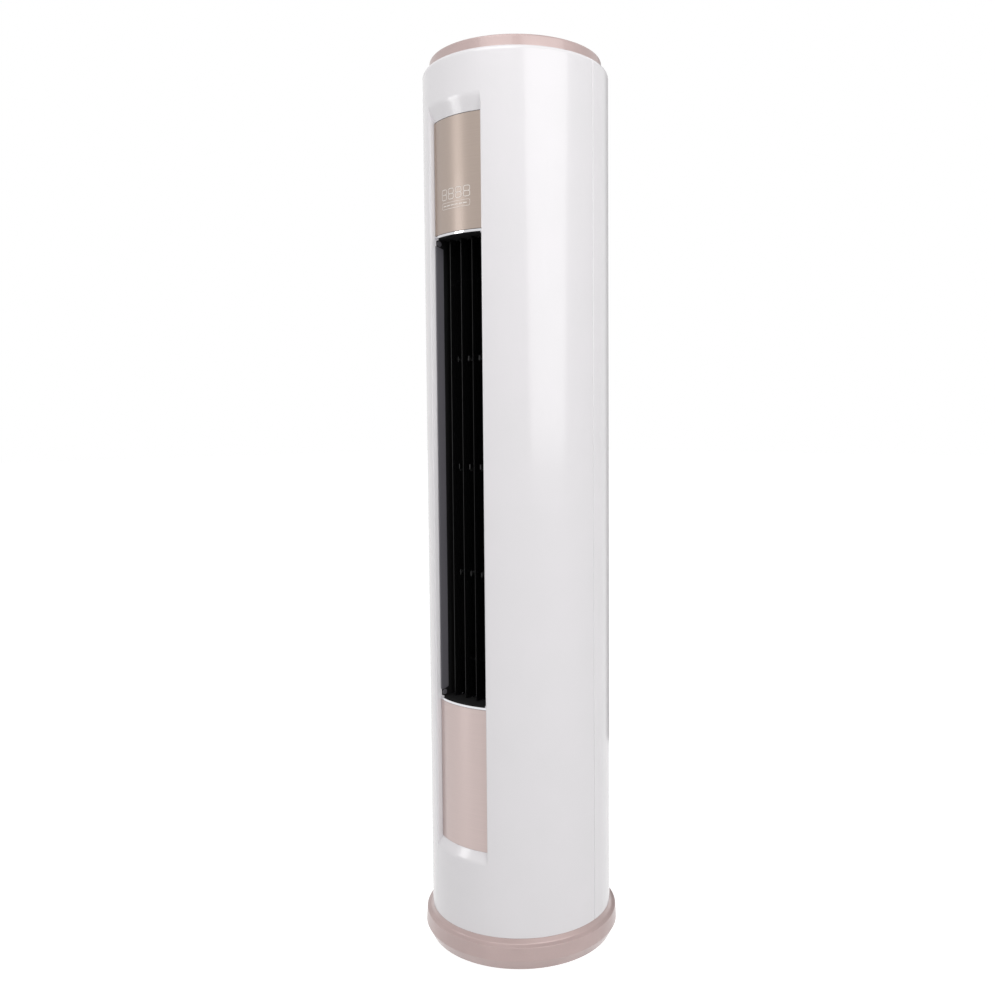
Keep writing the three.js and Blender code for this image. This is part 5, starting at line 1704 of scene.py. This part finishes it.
@dataclass
class Studio:
    """Camera at the photograph's place, pale floor, white background and soft lamps."""

    place: tuple[float, float, float] = (1.4295, -1.5329, 1.078)
    forward: tuple[float, float, float] = (-0.67038608, 0.73928098, -0.06360918)
    up: tuple[float, float, float] = (-0.03776356, 0.05162148, 0.99795247)
    lens: float = 35.83
    sensor: float = 36
    shift: Point = (-0.0348, -0.0127)
    clip: Span = (0.05, 60)
    white: str = "#ffffff"
    world_level: float = 0.44
    floor_half: float = 30
    floor_colour: str = "#e2e2e2"
    floor_roughness: float = 0.9
    floor_glow: float = 1.8
    glow_share: float = 0.5
    lamps: tuple[Lamp, ...] = (
        Lamp("key_softbox", 80, 3.0, 2.2, 2.8, 2.8, 49),
        Lamp("top_softbox", 18, 1.6, 3.2, 1.6, 1.6, 18),
        Lamp("left_window", -34, 2.6, 1.5, 0.6, 1.3, 10),
    )
    aim: float = 0.95
    card: tuple[float, float, float, float] = (203, 1.3, 1.05, 2.6)
    card_colour: str = "#b8b8b8"

    def camera(self) -> None:
        """Places the camera."""
        data = bpy.data.cameras.new("photo_camera")
        data.lens, data.sensor_width = self.lens, self.sensor
        data.shift_x, data.shift_y = self.shift
        data.clip_start, data.clip_end = self.clip
        camera = linked("photo_camera", data)
        back = -Vector(self.forward).normalized()
        up = (Vector(self.up) - back * Vector(self.up).dot(back)).normalized()
        turn = Matrix((up.cross(back), up, back)).transposed().to_4x4()
        camera.matrix_world = Matrix.Translation(Vector(self.place)) @ turn
        bpy.context.scene.camera = camera

    def seen(self, tree: Tree) -> Socket:
        """Adds a switch for what the camera sees, straight or by a gloss or clear surface.

        Args:
            tree: The tree that takes the nodes.

        Returns:
            Output with 1 for such a ray and 0 for any other.
        """
        path = add(tree, "ShaderNodeLightPath").outputs
        rays = maths(tree, "MAXIMUM", path["Is Camera Ray"], path["Is Glossy Ray"])
        return maths(tree, "MAXIMUM", rays, path["Is Transmission Ray"])

    def world(self) -> None:
        """World: white for the camera and for reflections, plain light for surfaces."""
        world = bpy.data.worlds.new("studio_world")
        world.use_nodes = True
        bpy.context.scene.world = world
        tree = world.node_tree
        ends = {"To_Min": self.world_level, "To_Max": 1.0}
        level = add(tree, "ShaderNodeMapRange", Value=self.seen(tree), **ends).outputs[0]
        fill(tree, tree.nodes["Background"], Color=linear(self.white), Strength=level)

    def sheet(self, name: str, half: float, colour: str) -> tuple[Piece, Tree, bpy.types.Node]:
        """Square sheet with a paint of its own.

        Args:
            name: Name of the sheet and, with _paint, of its material.
            half: Half its side in metres.
            colour: Its sRGB colour.

        Returns:
            The sheet, its material's node tree and its shader.
        """
        bm = bmesh.new()
        bmesh.ops.create_grid(bm, x_segments=1, y_segments=1, size=half)
        sheet = finished(bm, name)
        material = bpy.data.materials.new(f"{name}_paint")
        material.use_nodes = True
        sheet.data.materials.append(material)
        shader = material.node_tree.nodes["Principled BSDF"]
        fill(material.node_tree, shader, Base_Color=linear(colour))
        return sheet, material.node_tree, shader

    def floor(self) -> None:
        """Plain white floor that keeps the object's soft shadow."""
        floor, tree, shader = self.sheet("studio_floor", self.floor_half, self.floor_colour)
        fill(tree, shader, Roughness=self.floor_roughness, Specular_IOR_Level=0.0)
        colour = linear(self.white)
        glow = add(tree, "ShaderNodeEmission", Color=colour, Strength=self.floor_glow).outputs[0]
        share = maths(tree, "MULTIPLY", self.seen(tree), self.glow_share)
        mix = add(tree, "ShaderNodeMixShader", i0=share, i1=shader.outputs[0], i2=glow)
        fill(tree, tree.nodes["Material Output"], Surface=mix.outputs[0])

    def grey_card(self) -> None:
        """Grey card behind the right-hand side, seen in reflections only: it darkens that edge."""
        bearing, distance, width, tall = self.card
        card, _, _ = self.sheet("studio_grey_card", 0.5, self.card_colour)
        place = Matrix.Translation(at(distance / MM, bearing, tall / 2 / MM))
        turn = Matrix.Rotation(math.radians(bearing), 4, "Z") @ Matrix.Rotation(math.pi / 2, 4, "X")
        card.data.transform(place @ turn @ Matrix.Diagonal((width, tall, 1, 1)))
        card.visible_camera = card.visible_diffuse = False
        card.visible_shadow = card.visible_transmission = False

    def lights(self) -> None:
        """Soft area lamps round the object, aimed at its middle."""
        for lamp in self.lamps:
            data = bpy.data.lights.new(lamp.name, "AREA")
            data.shape = "RECTANGLE"
            data.size, data.size_y = lamp.width, lamp.tall
            data.energy = lamp.power
            light = linked(lamp.name, data)
            light.location = at(lamp.distance / MM, lamp.bearing, lamp.level / MM)
            aim = Vector((0, 0, self.aim)) - light.location
            light.rotation_euler = aim.to_track_quat("-Z", "Y").to_euler()

    def build(self) -> None:
        """Builds the studio."""
        bpy.context.scene.view_settings.view_transform = "Standard"
        self.camera()
        self.world()
        self.floor()
        self.grey_card()
        self.lights()


def main() -> None:
    """Builds the studio and every sub-assembly round the frame."""
    logging.basicConfig(level=logging.INFO, format="%(message)s")
    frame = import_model()
    Studio().build()
    parts = [
        CarriedNodes(frame), Casing(), Base(), Top(), Display(), LowerPanel(), Outlet(), Blower(),
        Exchanger(), Intake(), BackFittings(),
    ]
    for part in parts:
        part.build()
        LOG.info("%s done", type(part).__name__)
    bpy.context.view_layer.update()


if __name__ == "__main__":
    main()
